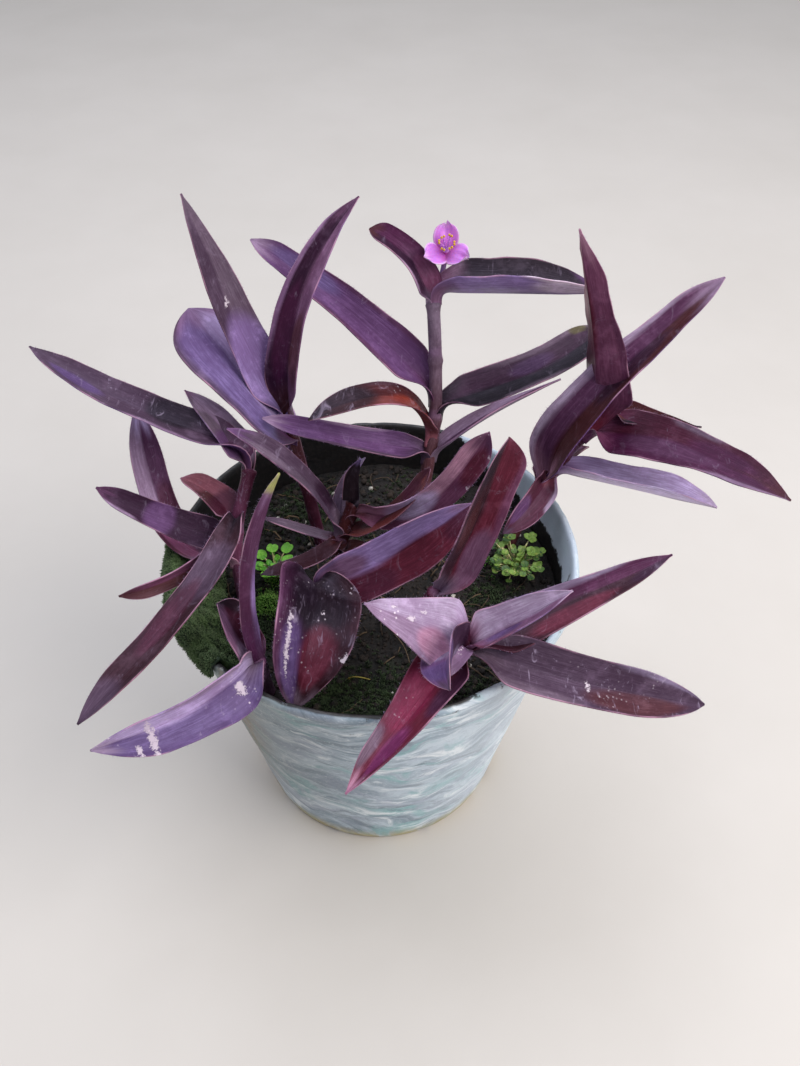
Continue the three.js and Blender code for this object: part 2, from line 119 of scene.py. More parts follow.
PALETTE = {
    "lilac": "9880b4",
    "lavender": "8062a6",
    "violet": "5e4284",
    "iris": "6c5a86",
    "slate": "594470",
    "thistle": "614068",
    "dusk": "55304c",
    "smoke": "4c3a4a",
    "ash": "6b5a68",
    "haze": "877b92",
    "heather": "947c94",
    "mist": "ae9cb4",
    "pale": "b8a4cc",
    "mauve": "8a6a8c",
    "mulberry": "7a5570",
    "orchid": "784460",
    "plum": "42294a",
    "maroon": "481638",
    "dark_maroon": "2c0e24",
    "claret": "48182a",
    "garnet": "601c2c",
    "oxblood": "2e0f14",
    "magenta": "722c5a",
    "rose": "985c64",
    "russet": "743830",
    "umber": "552e2e",
    "brown": "441a17",
    "soot": "1c1316",
    "ink": "110c10",
    "blush": "bd8ca2",
    "yellow_green": "b4c24a",
    "olive": "5c5a24",
    "crimson": "78163a",
    "ember": "84321c",
    "pink": "bf6890",
    "pearl": "d8c6ec",
    "flake": "d9c9d2",
}


def linear(colour):
    """A palette name or a hex colour as linear red, green and blue."""
    digits = PALETTE.get(colour, colour)
    shares = [int(digits[i:i + 2], 16) / 255 for i in (0, 2, 4)]
    return np.array([s / 12.92 if s <= 0.04045 else ((s + 0.055) / 1.055) ** 2.4 for s in shares])


# ---------------------------------------------------------------- shoots

class Leaf:
    """One leaf's shape, as in the CAD source, and its colours.

    growth is the joint, heading and rise; blade the length, width, taper and blunt; bend the droop, sway and
    hook; trough the roll and fold. top and under name the colours of the left and right halves of the blade's
    two faces, seen from its root towards its tip: partly the leaf's own colour and partly painted light and
    shade. A patch is a colour around a place: along, across, its reach along, its reach across, colour; some
    patches are painted highlights. A scar is a dry pale place, given in the same way without a colour.
    """

    def __init__(self, growth, blade, bend, trough, top, under, tip=None, base="dusk",
                 patches=(), scars=(), specks=0.0, scuffs=0.25):
        self.joint, self.heading, self.rise = growth
        self.length, self.width, self.taper, self.blunt = blade
        self.droop, self.sway, self.hook = bend
        self.roll, self.fold = trough
        self.top = top.split()
        self.under = under.split()
        self.tip = tip
        self.base = base
        self.patches = patches
        self.scars = scars
        self.specks = specks
        self.scuffs = scuffs


class Shoot:
    def __init__(self, slot, stem, colours, leaves):
        self.slot = slot
        self.stem = [np.array(point, float) for point in stem]
        self.colours = colours
        self.leaves = leaves


# The leaves' shape numbers are those of the CAD source. They were not set by hand: a least-squares fit
# of the leaf formula to outlines in the photograph gave them. The tones were named, with a
# comparison of render and photograph as guide.
# The tones of each leaf's halves are partly its own colour and partly painted light and shade; some of the
# patches are painted highlights.
SHOOTS = {
    "shoot_back_left": Shoot(
        "leaf_violet", [(-20, 16, 95), (-27, 28, 131), (-32, 36, 153)], ("claret", "umber"), [
            Leaf((2, 155, 62), (89, 19, 0.55, 0.6), (-9, -6, 1.8), (19, 31), "smoke ash", "plum plum",
                 "ash", "lilac", patches=[(0.3, 0, 0.25, 1.5, "lilac")],
                 scars=[(0.57, -0.1, 0.016, 0.2)]),
            Leaf((1.6, 192, 76), (65, 32, 0, 0.75), (44, -60, 1.4), (-6, 8), "iris pale",
                 "dark_maroon plum", "mauve", "thistle", patches=[(0.6, -1, 0.6, 0.2, "smoke"),
                 (0.12, -0.4, 0.12, 0.8, "maroon")], scuffs=0.1),
            Leaf((2, 46, 97), (89, 18.5, 0.35, 0.6), (66, -3, 1), (-8, 45), "dark_maroon mulberry",
                 "plum violet", "dusk", "umber", patches=[(0.35, 0.5, 0.2, 0.7, "umber"),
                 (0.4, -0.4, 0.25, 0.5, "maroon"), (0.6, -1, 0.4, 0.25, "mauve")]),
        ]),
    "shoot_flowering": Shoot(
        "leaf_violet", [(12, 14, 95), (18, 22, 133), (22, 34, 157), (22, 43, 177), (21, 51, 195)],
        ("umber", "ash"), [
            Leaf((2.2, 148, 41), (92, 19, 0.5, 0.85), (20, 3, 1.8), (22, 36), "thistle thistle",
                 "violet plum", "heather", "dusk", patches=[(0.75, 0.4, 0.2, 0.6, "iris"),
                 (0.45, -1, 0.4, 0.25, "dusk"), (0.4, 1, 0.4, 0.25, "dusk")]),
            Leaf((2, 13, 4), (78, 18.5, 0.2, 0.8), (-9, 27, 1), (-14, 36), "dark_maroon ink",
                 "thistle mulberry", "ink", "ink", patches=[(0.55, -0.35, 0.15, 0.4, "plum"),
                 (0.65, -1, 0.4, 0.3, "ash"), (0.5, 0.95, 0.2, 0.25, "ash"),
                 (0.86, -0.9, 0.06, 0.3, "olive")]),
            Leaf((4, 147, 92), (35, 14, 0.3, 0.85), (70, 11, 1.8), (14, 40), "dark_maroon maroon",
                 "maroon plum", "brown", "heather", patches=[(0.3, 0.4, 0.22, 0.7, "orchid"),
                 (0.4, -1, 0.25, 0.3, "heather")]),
            Leaf((4, -7, 4), (59, 27, 0.1, 0.6), (5, 6, 1.2), (11, 56), "soot ink", "iris lilac",
                 "thistle", "mulberry", patches=[(0.85, 0.6, 0.3, 0.6, "flake"),
                 (0.75, 1, 0.25, 0.12, "flake")]),
            Leaf((1.35, 191, 18), (65, 11.5, 0.4, 0.8), (0, -12, 1), (34, 34), "thistle thistle",
                 "plum violet", "heather", "smoke", patches=[(0.45, -1, 0.35, 0.3, "smoke"),
                 (0.5, 1, 0.25, 0.25, "heather")]),
            Leaf((1.4, 10, 45), (57, 10.5, 0.8, 0.35), (17, -9, 1.2), (2, 48), "heather dusk",
                 "mauve heather", "heather", "ash"),
            Leaf((1.6, 207, 100), (66, 13, 0.2, 0.7), (108, 5, 1.6), (11, 27), "russet brown",
                 "russet garnet", "ink", "rose", patches=[(0.35, -0.3, 0.2, 0.8, "ember"),
                 (0.8, 0, 0.25, 1.5, "ink"), (0.5, 0.9, 0.2, 0.2, "oxblood")], specks=0.3, scuffs=0.5),
        ]),
    "shoot_right": Shoot(
        "leaf_maroon", [(46, 8, 95), (57, 20, 123), (71, 30, 143), (86, 37, 157)], ("umber", "claret"), [
            Leaf((2.5, 221, 81), (94, 26, 0.75, 0.75), (12, -5, 1.6), (1, 37), "magenta maroon",
                 "orchid garnet", "blush", "garnet", patches=[(0.45, -1, 0.4, 0.25, "maroon"),
                 (0.78, 0.6, 0.25, 0.6, "rose"), (0.3, 0.6, 0.15, 0.6, "brown")]),
            Leaf((2.4, -38, 23), (87, 23, 0.65, 0.7), (14, -26, 1), (-19, 13), "claret maroon",
                 "garnet plum", "umber", "orchid", patches=[(0.45, 0.3, 0.3, 0.5, "dusk"),
                 (0.85, 1, 0.25, 0.3, "heather"), (0.5, -1, 0.15, 0.3, "ash"),
                 (0.66, -0.3, 0.2, 0.5, "maroon")]),
            Leaf((1.3, -2, 112), (105, 25, 0.65, 0.85), (73, 24, 3), (-14, 42), "dusk brown",
                 "maroon violet", "heather", "blush", patches=[(0.5, -1, 0.5, 0.35, "mist"),
                 (0.6, 0.3, 0.2, 0.5, "dark_maroon")]),
            Leaf((1.6, -32, 12), (63, 19.5, 0, 0.65), (8, 5, 1), (18, 43), "pale mist", "plum pearl",
                 "mist", "thistle"),
            Leaf((3, -26, 6), (33, 13.5, 0.95, 0.6), (2, 10, 1), (-12, 38), "brown ink", "brown ink",
                 "ink", "russet"),
            Leaf((1.4, 54, 29), (28, 15.5, 0.4, 0.6), (30, -21, 1.4), (18, 41), "dusk brown",
                 "brown russet", "brown", "russet"),
            Leaf((1.5, 244, -16), (31, 13.5, 0.25, 0.55), (0, -21, 1.6), (50, 38), "claret claret",
                 "plum garnet", "smoke", "rose", patches=[(0.25, -1, 0.25, 0.3, "mist"),
                 (0.65, 0.5, 0.25, 0.7, "thistle")]),
        ]),
    "shoot_left": Shoot(
        "leaf_violet", [(-50, -8, 95), (-50, -1, 133), (-45, 13, 150)], ("orchid", "claret"), [
            Leaf((2, 176, 16), (97, 17.5, 0.4, 0.65), (5, -34, 1), (4, 37), "smoke smoke",
                 "violet plum", "smoke", "dusk", patches=[(0.36, 0.4, 0.13, 0.9, "ink"),
                 (0.75, -0.3, 0.15, 0.5, "slate"), (0.38, -1, 0.15, 0.3, "heather")], scuffs=0.7),
            Leaf((2, 139, 48), (37, 15.5, 0.45, 0.5), (27, 1, 1.2), (-7, 36), "ash heather",
                 "iris plum", "mulberry", "oxblood", patches=[(0.3, -0.4, 0.2, 1, "thistle"),
                 (0.78, 0, 0.12, 1, "heather")], scuffs=0.5),
            Leaf((0.6, 206, -35), (79, 13.5, 0.1, 0.7), (-78, -100, 3), (-8, 25), "heather dusk",
                 "plum magenta", "pale", "blush", patches=[(0.32, -0.4, 0.18, 0.8, "pink"),
                 (0.5, 0.6, 0.15, 0.8, "claret"), (0.35, -1, 0.2, 0.25, "garnet")], scuffs=0.5),
            Leaf((0.8, 180, 16), (53, 13.5, 0.5, 0.8), (-15, -10, 1.4), (31, 25),
                 "dark_maroon dark_maroon", "maroon plum", "dusk", "dusk",
                 patches=[(0.55, 0, 0.13, 1.5, "thistle"), (0.8, -1, 0.15, 0.3, "heather")]),
            Leaf((1.1, 133, 43), (28, 15.5, 0.45, 0.7), (39, 17, 1.8), (-5, 41), "umber rose",
                 "rose garnet", "blush", "claret", patches=[(0.28, 0, 0.22, 1.5, "claret"),
                 (0.8, 0, 0.25, 1.5, "rose")], specks=0.3),
            Leaf((1, -111, -17), (53, 9, 0.3, 0.8), (-31, -34, 1.4), (78, 44), "umber orchid",
                 "dusk plum", "umber", "ash"),
            Leaf((1, -88, -2), (97, 12.5, 0.05, 0.75), (10, -41, 2.2), (-5, 33), "oxblood oxblood",
                 "garnet plum", "smoke", "ink", patches=[(0.34, 0, 0.16, 1.5, "smoke"),
                 (0.92, 0, 0.12, 1.5, "smoke"), (0.55, 0.3, 0.2, 0.7, "claret")]),
        ]),
    "shoot_front_left": Shoot(
        "leaf_violet", [(-36, -48, 95), (-37, -53, 119), (-37, -56, 129)], ("mulberry", "dusk"), [
            Leaf((2, -114, -1), (59, 23, 0.4, 0.6), (1, -43, 2.2), (72, 47), "iris pale",
                 "plum violet", "mist", "ash", patches=[(0.55, -1, 0.5, 0.3, "slate"),
                 (0.35, 0.9, 0.3, 0.4, "heather")], scars=[(0.7, -0.2, 0.022, 1),
                 (0.78, -0.9, 0.02, 0.4), (0.2, -0.3, 0.035, 0.25)], specks=0.9, scuffs=0.7),
            Leaf((1.2, 24, 101), (86, 9, 0.1, 0.75), (37, -5, 1), (49, 34), "lavender maroon",
                 "lilac dusk", "mauve", "umber", patches=[(0.15, 0, 0.25, 2, "plum"),
                 (0.35, 0.7, 0.3, 0.6, "maroon"), (0.6, 0.9, 0.25, 0.4, "maroon"),
                 (1, 0, 0.09, 3, "yellow_green")]),
            Leaf((1.5, 152, 65), (29, 18, 0.15, 0.7), (-9, 14, 1.4), (-10, 26), "mulberry claret",
                 "brown garnet", "smoke", "dusk", patches=[(0.3, -0.5, 0.2, 0.6, "heather"),
                 (0.85, 0.8, 0.25, 0.5, "ink")]),
        ]),
    "shoot_centre": Shoot(
        "leaf_violet", [(-16, 0, 95), (-13, 5, 123), (-8, 10, 137)], ("umber", "brown"), [
            Leaf((1, 192, 80), (68, 10.5, 0, 0.65), (43, -3, 1), (13, 25), "smoke smoke",
                 "maroon violet", "thistle", "ash", patches=[(0.3, 0.5, 0.12, 0.8, "dark_maroon"),
                 (0.75, -0.5, 0.2, 0.5, "ash")], scuffs=0.5),
            Leaf((1.5, -20, -16), (74, 12, 0, 0.85), (-83, 10, 2.2), (-83, 38), "blush orchid",
                 "maroon garnet", "dusk", "umber", patches=[(0.38, -0.3, 0.2, 1, "pearl"),
                 (0.8, 0.5, 0.15, 0.6, "garnet")], scars=[(0.9, 0.9, 0.014, 0.12),
                 (0.7, 0.95, 0.014, 0.1)], specks=0.4),
            Leaf((1, -18, 24), (47, 10.5, 0.2, 0.8), (-39, 47, 1), (4, 20), "umber russet",
                 "maroon brown", "claret", "brown", patches=[(0.75, 0, 0.15, 1.5, "claret")]),
            Leaf((1.2, 105, 56), (30, 8.5, 0.3, 0.7), (36, -51, 1.8), (23, 43), "smoke ash",
                 "plum lilac", "haze", "claret"),
            Leaf((0.8, -20, 30), (18, 9, 0.4, 0.6), (60, 0, 1), (0, 40), "umber brown", "dusk soot",
                 "umber", "ink"),
            Leaf((2, -65, 100), (26, 12, 0.4, 0.6), (35, 5, 1), (-30, 45), "smoke plum", "ink soot",
                 "iris", "ink"),
            Leaf((0.9, 242, 3), (36, 7, 0.15, 0.7), (-8, -35, 1.6), (11, 27), "oxblood oxblood",
                 "brown garnet", "soot", "brown"),
            Leaf((0.9, 189, 28), (31, 6, 0.2, 0.65), (-1, -6, 1.4), (-5, 31), "ash ash", "plum slate",
                 "smoke", "claret"),
        ]),
    "shoot_centre_low": Shoot(
        "leaf_maroon", [(-16, -26, 95), (-18, -23, 117), (-20, -21, 125)], ("umber", "claret"), [
            Leaf((2, -76, 39), (54, 34, 0.25, 0.4), (102, -38, 1.4), (34, 23), "oxblood dark_maroon",
                 "brown russet", "ash", "ink", patches=[(0.3, -0.1, 0.25, 0.9, "ink"),
                 (0.72, 0.5, 0.32, 0.4, "slate"), (0.66, -0.25, 0.25, 0.55, "garnet"),
                 (0.55, 1, 0.5, 0.2, "dusk")], scars=[(0.6, 0.6, 0.18, 0.04), (0.36, -0.2, 0.016, 0.05),
                 (0.62, -0.95, 0.03, 0.1)], specks=0.5, scuffs=0.6),
            Leaf((1.6, 6, 6), (64, 22.5, 0.05, 0.55), (-30, 8, 2.2), (-65, 36), "lilac garnet",
                 "plum garnet", "mauve", "dusk", patches=[(0.2, -0.4, 0.18, 0.6, "mulberry"),
                 (0.3, 0.6, 0.2, 0.6, "claret"), (0.9, 0.5, 0.15, 0.7, "claret")]),
        ]),
    "shoot_centre_right": Shoot(
        "leaf_maroon", [(14, -23, 95), (17, -27, 121), (21, -30, 133)], ("dusk", "claret"), [
            Leaf((2, 16, 72), (66, 17, 0, 0.85), (0, 13, 1.2), (-86, 44), "oxblood garnet",
                 "dusk brown", "garnet", "heather", patches=[(0.3, 0.6, 0.22, 0.7, "mulberry"),
                 (0.9, -0.6, 0.2, 0.6, "ink"), (0.65, 1, 0.35, 0.35, "orchid"),
                 (0.5, -0.4, 0.2, 0.4, "brown")]),
        ]),
    "shoot_front_right": Shoot(
        "leaf_maroon", [(24, -46, 95), (27, -51, 121), (30, -56, 137)], ("dusk", "claret"), [
            Leaf((2, 193, 46), (42, 27, 0.9, 0.85), (10, -6, 1.2), (30, 9), "heather mist", "plum dusk",
                 "heather", "mauve", patches=[(0.35, -0.4, 0.2, 0.6, "blush")],
                 scars=[(0.6, 0.1, 0.05, 0.12), (0.75, 0.45, 0.04, 0.1), (0.5, 0.5, 0.03, 0.08)],
                 specks=1, scuffs=1),
            Leaf((1.8, -127, 65), (33, 20.5, 0.15, 0.55), (67, 45, 1), (-54, 44), "heather thistle",
                 "dark_maroon smoke", "smoke", "garnet", patches=[(0.4, 0.4, 0.2, 0.8, "haze"),
                 (0.75, 0, 0.15, 1.5, "slate")]),
            Leaf((1.6, 22, 6), (79, 19.5, 0.7, 0.75), (-4, 2, 1.6), (-25, 39), "maroon oxblood",
                 "maroon garnet", "dusk", "claret", patches=[(0.45, -1, 0.4, 0.35, "haze"),
                 (0.9, 0.6, 0.15, 0.6, "dark_maroon"), (0.5, 0.6, 0.25, 0.5, "garnet")]),
            Leaf((2, -1, 30), (39, 20, 0.5, 0.55), (-13, 8, 1.8), (-8, 62), "mist mulberry",
                 "violet iris", "mist", "orchid", patches=[(0.35, 0.2, 0.2, 0.3, "slate"),
                 (0.3, 0.9, 0.25, 0.3, "garnet")]),
            Leaf((1.6, -16, -15), (87, 20.5, 0.2, 0.65), (4, 24, 1), (-29, 44), "smoke smoke",
                 "maroon garnet", "smoke", "ash", patches=[(0.85, -1, 0.3, 0.3, "haze"),
                 (0.7, 0.5, 0.25, 0.6, "umber"), (0.3, 0.9, 0.2, 0.3, "ash")],
                 scars=[(0.5, 0.1, 0.007, 0.2), (0.56, 0.5, 0.018, 0.03), (0.2, 0.3, 0.018, 0.03)],
                 specks=0.25, scuffs=1),
            Leaf((1.4, -121, 0), (60, 23, 0.75, 0.75), (22, -16, 1), (-1, 47), "garnet garnet",
                 "maroon garnet", "blush", "soot", patches=[(0.42, 0.4, 0.25, 0.8, "crimson"),
                 (0.75, 0.8, 0.15, 0.5, "ash"), (0.72, -0.3, 0.2, 0.6, "magenta"),
                 (0.3, -0.7, 0.2, 0.5, "dusk")], specks=0.3),
        ]),
}

# ---------------------------------------------------------------- small mathematics

radians = math.radians


def mix(a, b, share):
    return a + (b - a) * share


def smooth(low, high, x):
    share = np.clip((x - low) / (high - low), 0, 1)
    return share * share * (3 - 2 * share)


def unit(vector):
    return vector / np.linalg.norm(vector)


def roughness(x, y, z, scale, depth=4):
    """A wandering height between about -1 and 1 at a place in space."""
    return noise.fractal(Vector((x * scale, y * scale, z * scale)), 1.0, 2.0, depth)


# ---------------------------------------------------------------- meshes

class Skin:
    """Points, faces and values of each point, gathered from several parts into one piece."""

    def __init__(self):
        self.points = []
        self.faces = []
        self.values = {}
        self.count = 0

    def add(self, points, faces, **values):
        points = np.asarray(points, float).reshape(-1, 3)
        for name, value in values.items():
            value = np.asarray(value, float)
            if value.ndim == 0:
                value = np.full(len(points), float(value))
            if value.shape == (3,) and len(points) != 3:
                value = np.tile(value, (len(points), 1))
            self.values.setdefault(name, []).append(value)
        start = self.count
        self.faces.extend(tuple(int(i) + start for i in face) for face in faces)
        self.points.append(points)
        self.count += len(points)

    def build(self, name, material, nodes=()):
        points = np.concatenate(self.points) * MM
        mesh = bpy.data.meshes.new(name)
        mesh.from_pydata(points.tolist(), [], self.faces)
        for key, parts in self.values.items():
            value = np.concatenate(parts)
            if value.ndim == 2:
                layer = mesh.attributes.new(key, "FLOAT_COLOR", "POINT")
                rgba = np.concatenate([value, np.ones((len(value), 1))], axis=1)
                layer.data.foreach_set("color", rgba.ravel())
            else:
                layer = mesh.attributes.new(key, "FLOAT", "POINT")
                layer.data.foreach_set("value", value)
        mesh.polygons.foreach_set("use_smooth", [True] * len(mesh.polygons))
        mesh.materials.append(material)
        piece = bpy.data.objects.new(name, mesh)
        bpy.context.scene.collection.objects.link(piece)
        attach(piece, "root")
        if nodes:
            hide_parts(*nodes)
        return piece


def ring_faces(rings, count, closed_ends=True):
    """Faces between closed rings of equal count, in order, with a cap on the first and the last."""
    faces = []
    for ring in range(rings - 1):
        for k in range(count):
            near = ring * count + k
            near_next = ring * count + (k + 1) % count
            faces.append((near, near_next, near_next + count, near + count))
    if closed_ends:
        faces.append(tuple(range(count - 1, -1, -1)))
        faces.append(tuple(range((rings - 1) * count, rings * count)))
    return faces


def blade_faces(rings, columns):
    """Faces of a blade whose rings run over the top and back underneath."""
    count = 2 * columns
    faces = ring_faces(rings, count, closed_ends=False)
    last = (rings - 1) * count
    for k in range(columns - 1):
        below = count - 1 - k
        faces.append((k, below, below - 1, k + 1))
        faces.append((last + k, last + k + 1, last + below - 1, last + below))
    return faces


def tube(points, radii, sides):
    """Rings of points around a line, for a stem or stalk."""
    points = np.asarray(points, float)
    rings = []
    for i, point in enumerate(points):
        along = unit(points[min(i + 1, len(points) - 1)] - points[max(i - 1, 0)])
        reference = np.array([1.0, 0, 0]) if abs(along[1]) > 0.9 else np.array([0, 1.0, 0])
        side = unit(np.cross(along, reference))
        up = np.cross(side, along)
        for k in range(sides):
            angle = math.pi - (k + 0.5) * 2 * math.pi / sides
            rings.append(point + radii[i] * (side * math.cos(angle) + up * math.sin(angle)))
    return np.array(rings)


def polar(radius, angle, z=0):
    """The point at a distance and an angle around an upright line, at the height z."""
    return np.array([radius * math.cos(angle), radius * math.sin(angle), z])


def add_tube(skin, points, radii, sides, move=None, **values):
    """A closed tube around a line, moved to its place where that is asked for."""
    rings = tube(points, radii, sides)
    skin.add(move(rings) if move else rings, ring_faces(len(points), sides), **values)


# ---------------------------------------------------------------- stems

def stem_point(stem, share):
    """A place on the smooth line through the stem's joints, from 0 at the root to 1 at the top."""
    last = len(stem) - 1
    joint = min(int(math.floor(last * share)), last - 1)
    weight = last * share - joint
    middle = [stem[joint], stem[joint + 1]]
    before = stem[joint - 1] if joint > 0 else 2 * stem[0] - stem[1]
    after = stem[joint + 2] if joint + 2 <= last else 2 * stem[last] - stem[last - 1]
    spots = [before, *middle, after]
    gaps = [np.linalg.norm(spots[i + 1] - spots[i]) ** 0.5 for i in range(3)]
    leave = (spots[1] - spots[0]) / gaps[0] - (spots[2] - spots[0]) / (gaps[0] + gaps[1])
    leave = (leave + (spots[2] - spots[1]) / gaps[1]) * gaps[1]
    arrive = (spots[2] - spots[1]) / gaps[1] - (spots[3] - spots[1]) / (gaps[1] + gaps[2])
    arrive = (arrive + (spots[3] - spots[2]) / gaps[2]) * gaps[1]
    square = -3 * spots[1] + 3 * spots[2] - 2 * leave - arrive
    cube = 2 * spots[1] - 2 * spots[2] + leave + arrive
    return spots[1] + leave * weight + square * weight ** 2 + cube * weight ** 3


def stem_direction(stem, share):
    step = 0.0001
    return unit(stem_point(stem, min(share + step, 1)) - stem_point(stem, max(share - step, 0)))


def add_stem(skin, shoot, seed):
    """A jointed stem with a swollen ring at each joint and a rounded top."""
    sides = 20
    joints = len(shoot.stem) - 1
    steps = joints * 14
    shares = np.linspace(0, 1, steps + 1)
    points = [stem_point(shoot.stem, share) for share in shares]
    radii = []
    for share in shares:
        joint = share * joints
        nearest = round(joint)
        swell = STEM_SWELLING * math.exp(-((joint - nearest) / 0.07) ** 2) if nearest > 0 else 0
        radii.append(STEM_RADIUS + swell)
    top = stem_direction(shoot.stem, 1)
    for rise, share in ((0.7, 0.86), (1.2, 0.55), (1.4, 0.2)):
        points.append(points[steps] + top * rise)
        radii.append(radii[steps] * share)
    count = len(points)
    across = np.tile(np.linspace(-1, 1, sides), count)
    along = np.repeat(np.linspace(0, 1, count), sides)
    low, high = (linear(name) for name in shoot.colours)
    tint = mix(low, high, smooth(0.2, 0.9, along)[:, None])
    rings = smooth(0.75, 1, np.abs(np.cos(np.pi * along * joints)) ** 6)
    tint = mix(tint, linear("mauve"), 0.35 * rings[:, None])
    add_tube(skin, points, radii, sides, tint=tint, along=along * 2, across=across, outer=1, scar=0,
             specks=0.1, scuffs=0.4, seed=seed, long=sum(radii) / 10)


# ---------------------------------------------------------------- leaves

def blade_outline(leaf, t):
    """Half the blade's width from root to tip, as a share of the widest place."""
    opening = 0.65 + 0.35 * math.sin(math.pi / 2 * min(t / OPENED, 1))
    narrowing = 1 - leaf.taper * max(t - 0.2, 0) / 0.8
    closing = 1 - (max(t - leaf.blunt, 0) / (1 - leaf.blunt)) ** 2.2
    return opening * narrowing * max(closing, 0) ** 0.85


def bent(leaf, t):
    """How much of the leaf's whole bend lies behind the place t."""
    return 1 - max(1 - t, 0) ** leaf.hook


def leaf_heading(leaf, t):
    return radians(leaf.heading + leaf.sway * bent(leaf, t))


def leaf_direction(leaf, stem_way, t):
    heading = leaf_heading(leaf, t)
    rise = radians(leaf.rise - leaf.droop * bent(leaf, t))
    free = np.array([math.cos(rise) * math.cos(heading), math.cos(rise) * math.sin(heading), math.sin(rise)])
    return unit(mix(stem_way, free, smooth(0, 0.14, t)))


def leaf_spine(shoot, leaf):
    """Points and directions of the blade's middle line, from its root on the stem."""
    share = leaf.joint / (len(shoot.stem) - 1)
    way = stem_direction(shoot.stem, share)
    outward = polar(1, radians(leaf.heading))
    outward = unit(outward - way * np.dot(outward, way))
    point = stem_point(shoot.stem, share) + outward * STEM_RADIUS
    spine = []
    for i in range(LEAF_STEPS + 1):
        spine.append((point, leaf_direction(leaf, way, i / LEAF_STEPS)))
        point = point + leaf_direction(leaf, way, (i + 0.5) / LEAF_STEPS) * leaf.length / LEAF_STEPS
    return spine


def leaf_columns():
    return np.array([-q for q in reversed(LEAF_COLUMNS[1:])] + LEAF_COLUMNS)


def leaf_ring(leaf, point, direction, t, ruffle):
    """The blade's cross-section at t: top points from left to right, then bottom points back again."""
    heading = leaf_heading(leaf, t)
    level = np.array([math.sin(heading), -math.cos(heading), 0])
    side = unit(level - direction * np.dot(level, direction))
    up = np.cross(side, direction)
    roll = radians(leaf.roll) * smooth(0, 0.2, t)
    across = side * math.cos(roll) + up * math.sin(roll)
    above = up * math.cos(roll) - side * math.sin(roll)

    turn = mix(radians(SHEATH_TURN), radians(leaf.fold), smooth(0, 0.22, t))
    sheath_width = STEM_RADIUS * radians(SHEATH_TURN)
    blade_width = max(leaf.width / 2 * blade_outline(leaf, t), LEAF_TIP_WIDTH / 2)
    half_width = mix(sheath_width, blade_width, smooth(0, 0.2, t))
    flat_start = turn * CREASE
    scale = half_width / (turn * (1 - CREASE))
    thin = mix(1, 0.45, smooth(0.75, 1, t))

    q = leaf_columns()
    hand = np.sign(q)
    angle = turn * (CREASE + (1 - CREASE) * np.abs(q))
    x = hand * (np.sin(angle) - math.sin(flat_start)) * scale
    y = (math.cos(flat_start) - np.cos(angle)) * scale
    x = np.where(q == 0, 0, x)
    y = y + ruffle
    lean = hand * angle
    outwards = np.outer(np.cos(lean), above) - np.outer(np.sin(lean), across)
    thickness = mix(LEAF_MIDDLE, LEAF_EDGE, np.abs(q) ** 0.8) * thin
    keel = 0.3 * np.exp(-(q / 0.07) ** 2) * smooth(0.05, 0.2, t) * thin
    middle = point + np.outer(x, across) + np.outer(y, above)
    top = middle + outwards * (thickness / 2)[:, None]
    bottom = middle - outwards * (thickness / 2 + keel)[:, None]
    return np.concatenate([top, bottom[::-1]])


def apart(t, q, along, across, reach_along, reach_across):
    """The square of a point's distance from a mark on the blade, 1 where the mark's reach ends."""
    return ((t - along) / reach_along) ** 2 + ((q - across) / reach_across) ** 2


def leaf_tint(leaf, t, q, outer, phase):
    """The blade's colour at one point of its skin, before veins and wear: its own colour with the painted
    light and shade of its halves and patches.
    """
    left, right = (linear(name) for name in (leaf.under if outer else leaf.top))
    border = 0.12 * math.sin(9 * t + phase)
    tint = mix(left, right, smooth(-0.14, 0.14, q - border))
    tint = mix(linear(leaf.base), tint, smooth(0.02, 0.22, t + 0.03 * math.sin(5 * q + phase)))
    if leaf.tip:
        tint = mix(tint, linear(leaf.tip), 0.85 * smooth(0.84, 0.97, t + 0.03 * math.sin(7 * q + phase)))
    for *mark, name in leaf.patches:
        far = apart(t, q, *mark)
        tint = mix(tint, linear(name), 0.85 * (1 - smooth(0.35, 1, far)) * (0.75 if outer else 1))
    return tint


def leaf_scar(leaf, t, q, outer):
    depth = 0
    for mark in leaf.scars:
        depth = max(depth, 1 - apart(t, q, *mark) / 2)
    return 0 if outer else depth


def edge_ruffle(leaf, t, phases):
    """How far the blade's edges wave up and down at t, for each column."""
    q = leaf_columns()
    size = 0.02 * leaf.width * float(smooth(0.15, 0.4, t)) * (1 - float(smooth(0.85, 1, t)))
    waves = []
    for phase in phases:
        slow = math.sin(2 * math.pi * (leaf.length / 33) * t + phase)
        quick = 0.2 * math.sin(2 * math.pi * (leaf.length / 11) * t + 2.7 * phase)
        waves.append(size * (slow + quick))
    return np.where(q < 0, waves[0], waves[1]) * np.abs(q) ** 2.2


def add_leaf(skin, shoot, leaf, seed):
    """Adds one blade and gives back its rings, for the hairs along its edges."""
    rng = np.random.default_rng(seed)
    phases = rng.uniform(0, 2 * math.pi, 2)
    q = leaf_columns()
    ring_q = np.concatenate([q, q[::-1]])
    ring_outer = np.concatenate([np.zeros(len(q)), np.ones(len(q))])
    rings = []
    tint = []
    scar = []
    for i, (point, direction) in enumerate(leaf_spine(shoot, leaf)):
        t = i / LEAF_STEPS
        rings.append(leaf_ring(leaf, point, direction, t, edge_ruffle(leaf, t, phases)))
        for place, outer in zip(ring_q, ring_outer):
            tint.append(leaf_tint(leaf, t, place, outer > 0.5, phases[0]))
            scar.append(leaf_scar(leaf, t, place, outer > 0.5))
    rings = np.array(rings)
    count = len(ring_q)
    skin.add(rings.reshape(-1, 3), blade_faces(len(rings), len(q)), tint=np.array(tint),
             along=np.repeat(np.linspace(0, 1, len(rings)), count), across=np.tile(ring_q, len(rings)),
             outer=np.tile(ring_outer, len(rings)), scar=np.array(scar), specks=leaf.specks,
             scuffs=leaf.scuffs, seed=seed, long=leaf.length / 10)
    return rings


# ---------------------------------------------------------------- hairs

